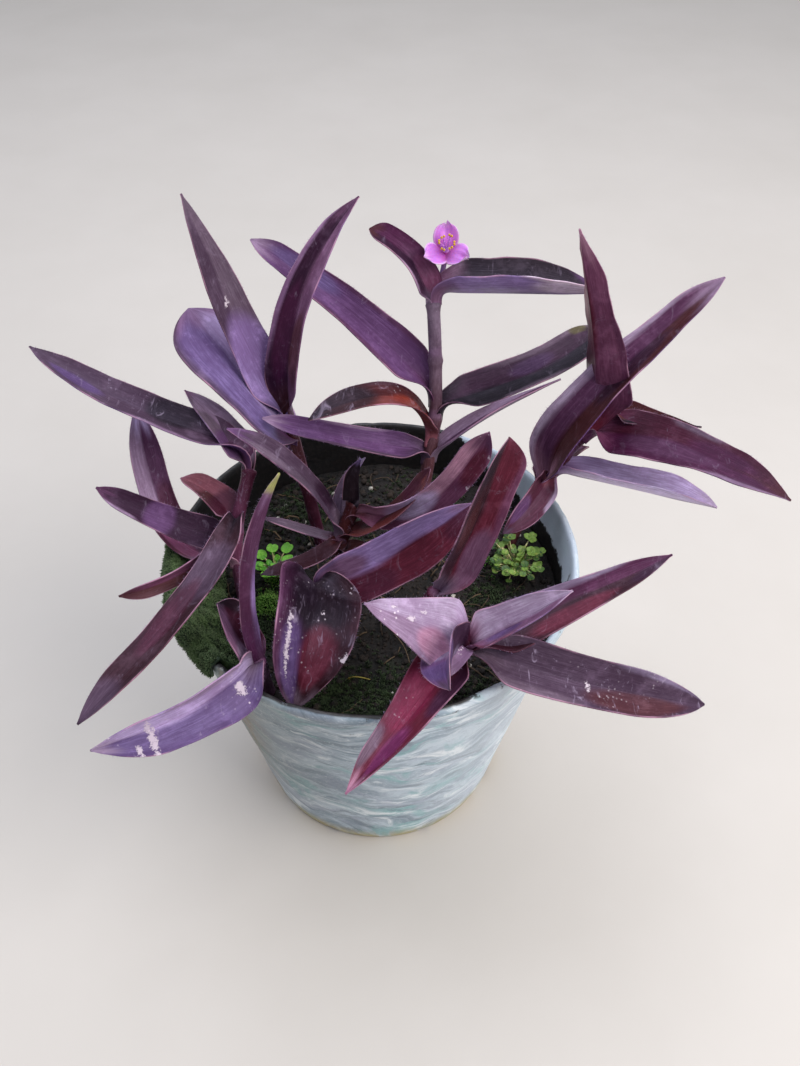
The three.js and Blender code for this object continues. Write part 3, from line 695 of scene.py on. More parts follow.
def inside_cad(point):
    place = np.asarray(point) * MM
    return bool(np.all(place > np.array(cad_low)) and np.all(place < np.array(cad_high)))


def add_hair(skin, root, way, length, radius):
    """A three-sided hair that narrows to a point, where it stays inside the CAD model's box."""
    way = unit(way)
    side = unit(np.cross(way, (0.31, 0.57, 0.76)))
    up = np.cross(side, way)
    if not inside_cad(root + way * length):
        return
    base = [root + radius * (side * math.cos(a) + up * math.sin(a)) for a in (0, 2.094, 4.189)]
    skin.add([*base, root + way * length], [(0, 1, 3), (1, 2, 3), (2, 0, 3), (2, 1, 0)])


def add_edge_hairs(skin, rings, length, rng):
    columns = rings.shape[1] // 2
    for column, inner, under in ((0, 3, 2 * columns - 1), (columns - 1, columns - 4, columns)):
        edge = (rings[:, column] + rings[:, under]) / 2
        outward = rings[:, column] - rings[:, inner]
        for _ in range(int(length * EDGE_HAIRS_PER_MM)):
            place = rng.uniform(0.06, 0.98) * (len(rings) - 1)
            ring = int(place)
            root = mix(edge[ring], edge[ring + 1], place - ring)
            way = unit(outward[ring]) + rng.normal(0, 0.35, 3)
            add_hair(skin, root, way, rng.uniform(0.5, 1.2), HAIR_RADIUS)


def add_stem_hairs(skin, shoot, rng):
    for _ in range(STEM_HAIRS):
        share = rng.uniform(0.35, 1)
        way = stem_direction(shoot.stem, share)
        out = rng.normal(0, 1, 3)
        out = unit(out - way * np.dot(out, way))
        root = stem_point(shoot.stem, share) + out * (STEM_RADIUS - 0.05)
        add_hair(skin, root, out + way * rng.uniform(0, 0.5), rng.uniform(0.6, 1.3), HAIR_RADIUS)


# ---------------------------------------------------------------- materials

class Paint:
    """A material, with short calls for the nodes that paint it."""

    def __init__(self, name):
        self.material = bpy.data.materials.new(name)
        self.material.use_nodes = True
        self.tree = self.material.node_tree
        self.shader = self.tree.nodes["Principled BSDF"]

    def feed(self, socket, source):
        """Joins a socket to another one, or gives it a number, some numbers or a tone."""
        if isinstance(source, str):
            source = linear(source)
        if isinstance(source, bpy.types.NodeSocket):
            self.tree.links.new(source, socket)
        elif isinstance(source, (int, float)):
            socket.default_value = source
        elif len(source) == 3 and len(socket.default_value) == 4:
            socket.default_value = (*source, 1)
        else:
            socket.default_value = tuple(source)

    def node(self, kind, inputs=(), **settings):
        made = self.tree.nodes.new(kind)
        for name, value in settings.items():
            setattr(made, name, value)
        for name, source in dict(inputs).items():
            self.feed(made.inputs[name], source)
        return made

    def math(self, operation, a, b=0.0):
        return self.node("ShaderNodeMath", {0: a, 1: b}, operation=operation).outputs[0]

    def times(self, a, b):
        return self.math("MULTIPLY", a, b)

    def plus(self, a, b):
        return self.math("ADD", a, b)

    def minus(self, a, b):
        return self.math("SUBTRACT", a, b)

    def stretch(self, place, by):
        """The place with each of its three numbers multiplied."""
        return self.node("ShaderNodeVectorMath", {0: place, 1: by}, operation="MULTIPLY").outputs[0]

    def combine(self, x, y, z):
        return self.node("ShaderNodeCombineXYZ", {0: x, 1: y, 2: z}).outputs[0]

    def place(self):
        """The point on the piece, in metres."""
        return self.node("ShaderNodeTexCoord").outputs["Object"]

    def value(self, name):
        return self.node("ShaderNodeAttribute", attribute_name=name).outputs["Fac"]

    def colour(self, name):
        return self.node("ShaderNodeAttribute", attribute_name=name).outputs["Color"]

    def noise(self, where, scale, detail=4.0, rough=0.55, warp=0.0):
        inputs = {"Vector": where, "Scale": scale, "Detail": detail, "Roughness": rough, "Distortion": warp}
        return self.node("ShaderNodeTexNoise", inputs).outputs["Fac"]

    def cells(self, where, scale, feature="F1", output="Distance"):
        inputs = {"Vector": where, "Scale": scale}
        return self.node("ShaderNodeTexVoronoi", inputs, feature=feature).outputs[output]

    def smooth(self, source, low, high, out_low=0.0, out_high=1.0):
        inputs = {"Value": source, "From Min": low, "From Max": high, "To Min": out_low, "To Max": out_high}
        made = self.node("ShaderNodeMapRange", inputs, interpolation_type="SMOOTHSTEP")
        return made.outputs["Result"]

    def blend(self, share, a, b, mode="MIX"):
        made = self.tree.nodes.new("ShaderNodeMix")
        made.data_type = "RGBA"
        made.blend_type = mode
        self.feed(made.inputs[0], share)
        self.feed(made.inputs[6], a)
        self.feed(made.inputs[7], b)
        return made.outputs[2]

    def coat(self, under, tone, source, low, high, out_low=0.0, out_high=1.0):
        """A tone laid over the colour underneath, as far as the source lies between low and high."""
        return self.blend(self.smooth(source, low, high, out_low, out_high), under, tone)

    def bump(self, height, strength, distance):
        made = self.node("ShaderNodeBump", {"Height": height, "Strength": strength, "Distance": distance})
        self.tree.links.new(made.outputs[0], self.shader.inputs["Normal"])

    def finish(self, colour, roughness, **constants):
        self.feed(self.shader.inputs["Base Color"], colour)
        self.feed(self.shader.inputs["Roughness"], roughness)
        for name, value in constants.items():
            self.feed(self.shader.inputs[name.replace("_", " ")], value)
        return self.material


def leaf_material(name):
    """Waxy purple leaf: long veins, a pale edge, mottling, scuffs, dry scars and small pale specks."""
    paint = Paint(name)
    along = paint.times(paint.value("along"), paint.value("long"))
    across = paint.value("across")
    seed = paint.value("seed")
    outer = paint.value("outer")
    place = paint.place()
    away = paint.math("ABSOLUTE", across)

    streak_place = paint.combine(paint.times(across, 7), along, seed)
    streaks = paint.noise(streak_place, 1.5, 5, 0.6)
    fine_place = paint.combine(paint.times(across, 26), paint.times(along, 0.7), seed)
    veins = paint.noise(fine_place, 1, 3, 0.6)
    mottle = paint.noise(place, 95, 5, 0.65)
    blotch = paint.noise(place, 38, 4, 0.6, 0.4)

    tint = paint.colour("tint")
    deep = paint.blend(1.0, tint, (0.55, 0.42, 0.52), "MULTIPLY")
    light = paint.blend(0.1, paint.blend(1.0, tint, (1.6, 1.5, 1.6), "MULTIPLY"), "mist")
    colour = paint.coat(tint, deep, streaks, 0.60, 0.38, 0, 0.45)
    colour = paint.coat(colour, light, streaks, 0.52, 0.72, 0, 0.4)
    colour = paint.coat(colour, deep, veins, 0.5, 0.38, 0, 0.4)
    colour = paint.coat(colour, light, veins, 0.56, 0.70, 0, 0.3)
    colour = paint.coat(colour, deep, blotch, 0.55, 0.36, 0, 0.6)
    colour = paint.coat(colour, light, mottle, 0.52, 0.70, 0, 0.5)
    dust = paint.noise(place, 420, 6, 0.75)
    colour = paint.coat(colour, light, dust, 0.54, 0.72, 0, 0.4)
    colour = paint.coat(colour, deep, dust, 0.46, 0.30, 0, 0.4)

    rib = paint.smooth(away, 0.075, 0.0)
    colour = paint.blend(paint.times(rib, 0.45), colour, deep)
    edge = paint.smooth(away, 0.955, 0.99)
    edge = paint.times(edge, paint.smooth(paint.noise(place, 75, 3), 0.42, 0.66, 0.05, 0.7))
    colour = paint.blend(edge, colour, "blush")

    scratch_place = paint.stretch(place, (260, 90, 160))
    scratches = paint.noise(scratch_place, 1, 3, 0.7, 1.5)
    scuffed = paint.times(paint.smooth(scratches, 0.58, 0.78), paint.value("scuffs"))
    colour = paint.blend(paint.times(scuffed, 0.7), colour, "mist")

    dots = paint.smooth(paint.cells(place, 620), 0.26, 0.14)
    dots = paint.times(dots, paint.smooth(paint.noise(place, 110, 3), 0.54, 0.66))
    dots = paint.times(dots, paint.value("specks"))
    colour = paint.blend(dots, colour, "flake")

    torn = paint.smooth(paint.noise(place, 620, 6, 0.75), 0.3, 0.7, -0.55, 0.45)
    scarred = paint.smooth(paint.plus(paint.value("scar"), torn), 0.4, 0.75)
    colour = paint.blend(paint.times(scarred, 0.8), colour, "flake")

    shine = paint.smooth(mottle, 0.35, 0.7, 0.34, 0.5)
    shine = paint.plus(shine, paint.times(scarred, 0.35))
    shine = paint.plus(shine, paint.times(outer, 0.05))
    relief = paint.plus(paint.times(veins, 0.5), paint.times(streaks, 0.3))
    relief = paint.plus(relief, paint.times(mottle, 0.25))
    relief = paint.plus(relief, paint.times(scarred, 0.4))
    paint.bump(relief, 0.55, 0.0004)
    return paint.finish(colour, shine, Specular_IOR_Level=0.22, Specular_Tint=(0.85, 0.72, 1.0),
                        Sheen_Weight=0.03, Sheen_Roughness=0.45, Sheen_Tint=(0.7, 0.6, 1.0))


def hair_material():
    paint = Paint("leaf_hair")
    tone = paint.noise(paint.place(), 900, 2)
    colour = paint.blend(tone, "pale", "mauve")
    return paint.finish(colour, 0.6)


# ---------------------------------------------------------------- shoots, built

def build_shoots():
    hair = hair_material()
    material = leaf_material("leaf")
    for number, (name, shoot) in enumerate(SHOOTS.items()):
        seed = 10 * (number + 1)
        skin = Skin()
        hairs = Skin()
        rng = np.random.default_rng(seed)
        add_stem(skin, shoot, seed)
        add_stem_hairs(hairs, shoot, rng)
        for i, leaf in enumerate(shoot.leaves):
            rings = add_leaf(skin, shoot, leaf, seed + i + 1)
            add_edge_hairs(hairs, rings, leaf.length, rng)
        if name == "shoot_flowering":
            add_flower_stalk(skin, shoot, seed)
        skin.build(name + "_leaves", material, [name])
        hairs.build(name + "_hairs", hair)


# ---------------------------------------------------------------- pot

def inside_radius(z):
    return mix(POT_BASE_RADIUS - POT_WALL, POT_RIM_RADIUS - LIP_WIDTH, z / POT_HEIGHT)


def pot_profile():
    """Radius and height of the pot's section, up the outside, over the lip and down the inside."""
    under = POT_HEIGHT - LIP_DEPTH
    section = [(12, 0), (30, 0), (44, 0), (POT_BASE_RADIUS - 1.6, 0), (POT_BASE_RADIUS - 0.5, 0.3)]
    section += [(POT_BASE_RADIUS, 1.2)]
    for z in np.linspace(3, under - 1.4, 44):
        section.append((inside_radius(z) + POT_WALL, z))
    shoulder = inside_radius(under) + POT_WALL
    section += [(shoulder, under - 0.4), (shoulder + 0.2, under), (POT_RIM_RADIUS - 0.9, under)]
    section += [(POT_RIM_RADIUS - 0.3, under + 0.2), (POT_RIM_RADIUS, under + 0.9)]
    section += [(POT_RIM_RADIUS, under + 2), (POT_RIM_RADIUS - 0.1, POT_HEIGHT - 1.2)]
    section += [(POT_RIM_RADIUS - 0.4, POT_HEIGHT - 0.4), (POT_RIM_RADIUS - 0.9, POT_HEIGHT)]
    section += [(POT_RIM_RADIUS - LIP_WIDTH / 2, POT_HEIGHT), (POT_RIM_RADIUS - LIP_WIDTH + 0.7, POT_HEIGHT)]
    section += [(inside_radius(POT_HEIGHT) + 0.2, POT_HEIGHT - 0.4)]
    section += [(inside_radius(POT_HEIGHT - 1), POT_HEIGHT - 1)]
    for z in np.linspace(POT_HEIGHT - 3, POT_FLOOR + 1, 20):
        section.append((inside_radius(z), z))
    section += [(inside_radius(POT_FLOOR) - 0.8, POT_FLOOR), (30, POT_FLOOR), (12, POT_FLOOR)]
    return section


def worn_pot_point(radius, z, angle):
    """A point of the pot's skin, with the dents of thin plastic and a chewed rim, always inwards."""
    x = radius * math.cos(angle)
    y = radius * math.sin(angle)
    dent = 0.25 * (roughness(x, y, z * 2, 0.05, 3) - 1) if 6 < z < POT_HEIGHT - LIP_DEPTH - 3 else 0
    rim = float(smooth(POT_HEIGHT - LIP_DEPTH, POT_HEIGHT, z))
    chewed = rim * 0.4 * max(roughness(x, y, z, 0.22, 4), -0.2)
    front = float(smooth(-20, -60, y))
    drop = rim * mix(0.7, 1.5, front) * max(roughness(x, y, z, mix(0.12, 0.2, front), 5) + 0.15, 0)
    outside = radius > inside_radius(z) + 1
    shrink = 1 + (dent if outside else 0) / radius - max(chewed, 0) / radius * (1 if outside else -0.6)
    return x * shrink, y * shrink, z - drop


def build_pot():
    sides = 192
    section = pot_profile()
    points = []
    for radius, z in section:
        for k in range(sides):
            points.append(worn_pot_point(radius, z, 2 * math.pi * k / sides))
    skin = Skin()
    skin.add(points, ring_faces(len(section), sides))
    pot = skin.build("pot_body", pot_material(), ["pot"])

    cutters = Skin()
    for i in range(DRAIN_HOLES):
        angle = radians(DRAIN_FIRST_ANGLE + 360 * i / DRAIN_HOLES)
        outward = polar(1, angle)
        centre = outward * (POT_BASE_RADIUS - 1)
        line = [centre - outward * DRAIN_REACH, centre + outward * DRAIN_REACH]
        add_tube(cutters, line, [DRAIN_RADIUS] * 2, 24)
    drill = cutters.build("drain_cutters", pot.data.materials[0])
    cut = pot.modifiers.new("drain holes", "BOOLEAN")
    cut.operation = "DIFFERENCE"
    cut.solver = "EXACT"
    cut.object = drill
    bpy.context.view_layer.update()
    holed = bpy.data.meshes.new_from_object(pot.evaluated_get(bpy.context.evaluated_depsgraph_get()))
    pot.modifiers.remove(cut)
    pot.data = holed
    bpy.data.objects.remove(drill)


def pot_material():
    """Pale weathered plastic with wandering strokes, brown patches towards the left edge and mud inside the
    rim.
    """
    paint = Paint("weathered_pot")
    place = paint.place()
    x, y, z = paint.node("ShaderNodeSeparateXYZ", {0: place}).outputs
    radius = paint.math("SQRT", paint.plus(paint.times(x, x), paint.times(y, y)))

    wander = paint.times(paint.minus(paint.noise(place, 17, 3), 0.5), 0.05)
    level = paint.plus(paint.plus(z, paint.times(x, 0.1)), wander)
    strokes = paint.stretch(paint.combine(x, y, level), (26, 26, 105))
    wide = paint.noise(strokes, 0.8, 6, 0.66, 1.6)
    narrow = paint.noise(paint.stretch(strokes, (1.7, 1.7, 1.25)), 1, 6, 0.68, 0.9)
    tones = paint.noise(paint.stretch(strokes, (0.9, 0.9, 0.5)), 1, 4, 0.6, 1.0)

    colour = paint.blend(paint.smooth(wide, 0.36, 0.62), "8496a5", "c6d3dd")
    colour = paint.coat(colour, "86b6b8", tones, 0.52, 0.62, 0, 0.8)
    colour = paint.coat(colour, "9ca3b8", tones, 0.47, 0.37, 0, 0.6)
    colour = paint.coat(colour, "f3f7f9", narrow, 0.50, 0.66, 0, 0.9)
    colour = paint.coat(colour, "607282", narrow, 0.48, 0.33, 0, 0.8)
    # Painted shade darkens the left side, and a painted highlight lightens the right side.
    shade = paint.times(paint.smooth(x, 0.02, -0.055), paint.smooth(z, 0.0, 0.06, 0.4, 1))
    colour = paint.blend(paint.times(shade, 0.72), colour, "525b55")
    colour = paint.coat(colour, "dfe9f2", x, 0.005, 0.055, 0, 0.5)

    fine = paint.noise(place, 700, 5, 0.75)
    colour = paint.coat(colour, "5c6a72", fine, 0.54, 0.75, 0, 0.35)
    colour = paint.coat(colour, "eef3f5", fine, 0.46, 0.3, 0, 0.3)

    # Browner in patches towards the left edge.
    patch_noise = paint.noise(paint.stretch(place, (95, 95, 30)), 1, 7, 0.7, 0.5)
    left_brown = paint.times(paint.smooth(patch_noise, 0.36, 0.68), paint.smooth(x, -0.034, -0.054))
    colour = paint.blend(paint.times(left_brown, 0.8), colour, "86663a")
    grime = paint.times(paint.smooth(z, 0.011, 0.001), paint.smooth(patch_noise, 0.34, 0.56))
    colour = paint.blend(paint.times(grime, 0.85), colour, "b09a4e")

    splash = paint.noise(place, 150, 6, 0.75)
    clean = paint.smooth(x, 0.028, 0.052)
    dirt_edge = paint.times(paint.minus(splash, 0.5), 0.012)
    dirt_edge = paint.plus(dirt_edge, paint.times(clean, -DIRT_BAND * MM))
    dirt_edge = paint.plus(dirt_edge, (POT_HEIGHT + 2) * MM)
    slope = (POT_RIM_RADIUS - LIP_WIDTH - POT_BASE_RADIUS + POT_WALL) / POT_HEIGHT
    wall = paint.plus(paint.times(z, slope), (POT_BASE_RADIUS - POT_WALL + 0.9) * MM)
    inner = paint.smooth(paint.minus(wall, radius), -0.0002, 0.0002)
    lip = paint.times(paint.smooth(z, (POT_HEIGHT - 1.6) * MM, (POT_HEIGHT - 0.9) * MM),
                      paint.smooth(radius, (POT_RIM_RADIUS - 0.4) * MM, (POT_RIM_RADIUS - 1.1) * MM))
    lip = paint.times(lip, paint.smooth(splash, 0.36, 0.42))
    dirty = paint.math("MAXIMUM", inner, paint.times(lip, paint.minus(1.0, clean)))
    dirty = paint.times(dirty, paint.smooth(paint.minus(dirt_edge, z), -0.0006, 0.0006))
    dirty = paint.times(dirty, paint.smooth(z, 0.001, 0.0017))
    colour = paint.blend(paint.times(inner, 0.75), colour, "c2cedb")
    mud = paint.blend(paint.smooth(fine, 0.4, 0.7), "121012", "2a2422")
    colour = paint.blend(dirty, colour, mud)
    muddy = paint.times(paint.smooth(splash, 0.61, 0.66), paint.smooth(z, 0.1, 0.124, 0.1, 0.9))
    colour = paint.blend(muddy, colour, "3a332e")

    shine = paint.smooth(narrow, 0.3, 0.7, 0.38, 0.62)
    relief = paint.plus(paint.times(narrow, 0.6), paint.times(fine, 0.3))
    paint.bump(relief, 0.5, 0.0005)
    return paint.finish(colour, shine, Specular_IOR_Level=0.5)


# ---------------------------------------------------------------- soil

def soil_height(x, y):
    waves = math.sin(x * 0.13 + 1) + math.sin(y * 0.17 - x * 0.05) + math.sin(x * 0.09 - y * 0.11 + 2)
    return SOIL_TOP + SOIL_RELIEF * waves / 2


def soil_surface(x, y):
    """Height of the crumbly top."""
    crumbs = 0.9 * roughness(x, y, 0, 0.35, 5) + 0.5 * abs(roughness(x, y, 7, 0.9, 4))
    return soil_height(x, y) + crumbs - 0.3


def build_soil():
    rings = 84
    sides = 220
    outer = inside_radius(SOIL_TOP) - SOIL_GAP
    bottom = POT_FLOOR + 0.3
    low = inside_radius(bottom) - SOIL_GAP
    points = []
    for ring in range(1, rings + 1):
        for k in range(sides):
            x, y, _ = polar(outer * ring / rings, 2 * math.pi * k / sides)
            points.append((x, y, soil_surface(x, y)))
    for radius, z in ((outer - 0.1, SOIL_TOP - 3), (mix(low, outer, 0.5), SOIL_TOP / 2), (low, bottom)):
        for k in range(sides):
            points.append(polar(radius, 2 * math.pi * k / sides, z))
    skin = Skin()
    faces = [tuple(reversed(face)) for face in ring_faces(rings + 3, sides)]
    skin.add(points, faces)
    skin.build("soil_body", soil_material(), ["soil"])


def add_lump(skin, place, size, rng, stretch=(1, 1, 0.8), **values):
    """An uneven rounded lump: a cube cut once and pushed out of true."""
    corners = np.array([(a, b, c) for a in (-1, 0, 1) for b in (-1, 0, 1) for c in (-1, 0, 1)], float)
    keep = [i for i, corner in enumerate(corners) if np.any(corner)]
    order = {old: new for new, old in enumerate(keep)}
    shell = corners[keep] / np.linalg.norm(corners[keep], axis=1)[:, None]
    shell = shell * rng.uniform(0.72, 1.1, (len(shell), 1)) * np.array(stretch) * size
    turn = rng.uniform(0, 2 * math.pi)
    cos, sin = math.cos(turn), math.sin(turn)
    shell = shell @ np.array([[cos, -sin, 0], [sin, cos, 0], [0, 0, 1]])
    faces = []
    for axis in range(3):
        others = [k for k in range(3) if k != axis]
        for end in (0, 2):
            for a in (0, 1):
                for b in (0, 1):
                    face = []
                    for step_a, step_b in ((0, 0), (1, 0), (1, 1), (0, 1)):
                        index = [0, 0, 0]
                        index[axis] = end
                        index[others[0]] = a + step_a
                        index[others[1]] = b + step_b
                        face.append(order[index[0] * 9 + index[1] * 3 + index[2]])
                    flip = (end == 0) != (axis == 1)
                    faces.append(tuple(reversed(face)) if flip else tuple(face))
    skin.add(shell + np.asarray(place), faces, **values)


def soil_spot(rng, reach=1.0):
    radius = (inside_radius(SOIL_TOP) - 2.5) * math.sqrt(rng.uniform(0, 1)) * reach
    angle = rng.uniform(0, 2 * math.pi)
    return radius * math.cos(angle), radius * math.sin(angle)


def build_crumbs():
    rng = np.random.default_rng(CRUMB_SEED)
    skin = Skin()
    for _ in range(CRUMBS):
        x, y = soil_spot(rng)
        size = rng.uniform(0.3, 0.75) if rng.random() < 0.85 else rng.uniform(0.8, 1.7)
        add_lump(skin, (x, y, soil_surface(x, y) + size * 0.25), size, rng, shade=rng.uniform(0, 1))
    skin.build("soil_crumbs", crumb_material())

    bits = Skin()
    for _ in range(PERLITE_BITS):
        x, y = soil_spot(rng)
        size = rng.uniform(0.5, 1.3)
        add_lump(bits, (x, y, soil_surface(x, y) + size * 0.35), size, rng, shade=rng.uniform(0, 1))
    bits.build("soil_perlite", perlite_material())

    fibres = Skin()
    for _ in range(FIBRES):
        x, y = soil_spot(rng, 0.97)
        angle = rng.uniform(0, 2 * math.pi)
        length = rng.uniform(4, 14)
        bend = rng.uniform(-0.9, 0.9)
        points = []
        for step in range(7):
            share = step / 6
            way = angle + bend * share
            px = x + length * share * math.cos(way)
            py = y + length * share * math.sin(way)
            if math.hypot(px, py) > inside_radius(SOIL_TOP) - 1.5:
                break
            lift = 0.5 + 1.3 * math.sin(math.pi * share) * (bend > 0)
            points.append((px, py, soil_surface(px, py) + lift))
        if len(points) > 3:
            radius = rng.uniform(0.12, 0.32)
            add_tube(fibres, points, [radius] * len(points), 5, shade=rng.uniform(0, 1))
    fibres.build("soil_fibres", fibre_material())


def soil_material():
    paint = Paint("damp_soil")
    place = paint.place()
    coarse = paint.noise(place, 140, 6, 0.7)
    fine = paint.noise(place, 900, 5, 0.7)
    colour = paint.blend(paint.smooth(coarse, 0.35, 0.65), "0d0a0a", "251d19")
    colour = paint.coat(colour, "3d3128", fine, 0.58, 0.75, 0, 0.6)
    green = paint.noise(place, 34, 4, 0.6)
    colour = paint.coat(colour, "1f2f18", green, 0.56, 0.68, 0, 0.55)
    paint.bump(paint.plus(coarse, fine), 0.8, 0.001)
    return paint.finish(colour, paint.smooth(fine, 0.3, 0.7, 0.7, 0.95))


def crumb_material():
    paint = Paint("soil_crumb")
    place = paint.place()
    fine = paint.noise(place, 1100, 4, 0.7)
    colour = paint.blend(paint.value("shade"), "100b0a", "30251e")
    colour = paint.coat(colour, "483a30", fine, 0.5, 0.7, 0, 0.5)
    paint.bump(fine, 0.6, 0.0005)
    return paint.finish(colour, 0.9)


def perlite_material():
    paint = Paint("perlite")
    place = paint.place()
    pits = paint.cells(place, 2200)
    colour = paint.blend(paint.smooth(pits, 0.2, 0.6), "8c857c", "d8d2c6")
    dirt = paint.noise(place, 500, 3)
    colour = paint.coat(colour, "6b5c4c", dirt, 0.45, 0.65, 0, 0.6)
    paint.bump(pits, 0.6, 0.0004)
    return paint.finish(colour, 0.85)


def fibre_material():
    paint = Paint("dry_fibre")
    place = paint.place()
    fine = paint.noise(paint.stretch(place, (900, 900, 300)), 1, 4, 0.6)
    colour = paint.blend(paint.value("shade"), "2a1d16", "7a6348")
    colour = paint.coat(colour, "4b3a2a", fine, 0.45, 0.65, 0, 0.5)
    paint.bump(fine, 0.4, 0.0003)
    return paint.finish(colour, 0.8)


# ---------------------------------------------------------------- flower

def tilted(points):
    """From the flower's own frame, opening along +Z, to its place on the plant."""
    points = np.asarray(points, float).reshape(-1, 3)
    cos, sin = math.cos(radians(FLOWER_TILT)), math.sin(radians(FLOWER_TILT))
    turned = np.stack([points[:, 0], points[:, 1] * cos - points[:, 2] * sin,
                       points[:, 1] * sin + points[:, 2] * cos], axis=1)
    return turned + np.array(FLOWER_PLACE)


def turned_about_z(points, angle):
    cos, sin = math.cos(angle), math.sin(angle)
    points = np.asarray(points, float).reshape(-1, 3)
    return points @ np.array([[cos, sin, 0], [-sin, cos, 0], [0, 0, 1]])


def add_petal(skin, turn, seed):
    """One broad petal with a wavy rim, cupped towards its tip."""
    rings = 26
    q = np.linspace(-1, 1, 21)
    rows = []
    along = []
    across = []
    for i in range(rings):
        t = i / (rings - 1)
        width = max(PETAL_WIDTH / 2 * math.sin(math.pi * (0.12 + 0.8 * t) ** 0.9), 0.5)
        width *= 1 - 0.25 * t ** 12
        notch = 0.7 * np.exp(-(q / 0.16) ** 2) * smooth(0.85, 1, t)
        out = PETAL_LENGTH * t - 0.9 * (q ** 2) * smooth(0.7, 1, t) - notch
        ripple = 0.9 * np.sin(q * 3 + t * 4 + seed * 2.1) * t + 0.35 * np.sin(q * 11 + seed) * t ** 3
        lift = PETAL_CUP * math.sin(math.pi * t * 0.5) + ripple + 0.9 * np.abs(q) * t
        crease = 0.25 * np.exp(-(q / 0.1) ** 2) * t
        top = np.stack([out, -q * width, lift - 0.1 - crease], axis=1)
        thickness = mix(0.55, 0.22, t)
        under = top[::-1] - (0, 0, thickness)
        rows.append(np.concatenate([top, under]))
        along.extend([t] * (2 * len(q)))
        across.extend([*q, *q[::-1]])
    points = tilted(turned_about_z(np.concatenate(rows), turn))
    skin.add(points, blade_faces(rings, len(q)), along=along, across=across, seed=seed)


def build_flower():
    petals = Skin()
    for i in range(PETALS):
        add_petal(petals, radians(90) + 2 * math.pi * i / PETALS, i + 1)
    heart = [(0, 0, -1.4), (0, 0, -0.9), (0, 0, -0.2), (0, 0, 0.4), (0, 0, 0.6)]
    add_tube(petals, heart, [1.2, 1.5, 1.75, 1.7, 1.2], 20, tilted, along=0, across=0, seed=5)
    petals.build("petals", petal_material(), ["flower_petals"])

    floor = 0.9
    stamens = Skin()
    disc = [(0, 0, floor + 0.8), (0, 0, floor + 1.1), (0, 0, floor + 1.5), (0, 0, floor + 1.6)]
    add_tube(stamens, disc, [0.9, 1.1, 0.9, 0.4], 14, tilted, yellow=0.1)
    hairs = Skin()
    rng = np.random.default_rng(STAMEN_SEED)
    for i in range(STAMENS):
        angle = 2 * math.pi * i / STAMENS
        way = polar(1, angle)
        line = []
        for share in np.linspace(0, 1, 9):
            reach = mix(0.5, 2.6, share ** 1.3)
            line.append(way * reach + np.array([0, 0, floor + 1.2 + (4.8 + i % 2) * share]))
        add_tube(stamens, line, [0.26 - 0.1 * k / 8 for k in range(9)], 8, tilted, yellow=0)
        end = line[-1]
        side = np.cross(way, (0, 0, 1))
        for hand in (-1, 1):
            add_anther_half(stamens, end + side * 0.36 * hand, side * hand)
        for _ in range(STAMEN_HAIRS):
            root = np.array(line[int(rng.integers(1, 6))])
            out = rng.normal(0, 1, 3)
            out[2] *= 0.5
            tip = tilted(root + unit(out) * rng.uniform(0.8, 1.5))[0]
            start = tilted(root)[0]
            add_hair(hairs, start, tip - start, np.linalg.norm(tip - start), 0.05)
    stamens.build("stamens", stamen_material(), ["flower_stamens"])
    hairs.build("stamen_hairs", stamen_hair_material())


def add_anther_half(skin, centre, side):
    """One bean-shaped half of an anther."""
    rings = []
    for share in np.linspace(0, 1, 8):
        radius = 0.42 * math.sin(math.pi * mix(0.08, 0.92, share))
        middle = centre + np.array([0, 0, mix(-0.75, 0.75, share)]) + side * 0.12 * math.sin(math.pi * share)
        for k in range(10):
            angle = 2 * math.pi * k / 10
            rings.append(middle + polar(radius, angle))
    skin.add(tilted(rings), ring_faces(8, 10), yellow=1)


def add_flower_stalk(skin, shoot, seed):
    """The stalk that carries the bloom, widening into a small cup under the petals."""
    root = shoot.stem[-1] - (0, 0, 3)
    tilt = radians(FLOWER_TILT)
    axis = np.array([0, -math.sin(tilt), math.cos(tilt)])
    top = np.array(FLOWER_PLACE, float) - axis * 1.7
    elbow = top - axis * 4
    middle = mix(root, elbow, 0.5)
    corners = [root, middle, elbow, top]
    shares = np.linspace(0, 1, 25)
    points = [stem_point(corners, share) for share in shares]
    radii = [1.1 - 0.2 * math.sin(math.pi * share) + 0.35 * float(smooth(0.85, 1, share)) for share in shares]
    sides = 14
    along = np.repeat(shares, sides)
    across = np.tile(np.linspace(-1, 1, sides), len(shares))
    tint = mix(linear("violet"), linear("mauve"), along[:, None])
    add_tube(skin, points, radii, sides, tint=tint, along=along, across=across, outer=1, scar=0, specks=0,
             scuffs=0.2, seed=seed, long=3)


def petal_material():
    paint = Paint("petal")
    along = paint.value("along")
    across = paint.value("across")
    fine_place = paint.stretch(paint.combine(across, along, paint.value("seed")), (12, 1.5, 1))
    veins = paint.noise(fine_place, 1, 3, 0.6)
    colour = paint.blend(paint.smooth(along, 0.0, 0.55), "96147e", "c070cc")
    colour = paint.coat(colour, "e6c0e6", along, 0.7, 1.0, 0, 0.7)
    rim = paint.math("ABSOLUTE", across)
    colour = paint.coat(colour, "ecccec", rim, 0.75, 1.0, 0, 0.55)
    colour = paint.coat(colour, "a33fb4", veins, 0.5, 0.36, 0, 0.5)
    paint.bump(veins, 0.4, 0.0003)
    return paint.finish(colour, 0.5, Sheen_Weight=0.3, Sheen_Roughness=0.5, Sheen_Tint=(0.95, 0.85, 1),
                        Subsurface_Weight=0.15, Subsurface_Scale=0.002)


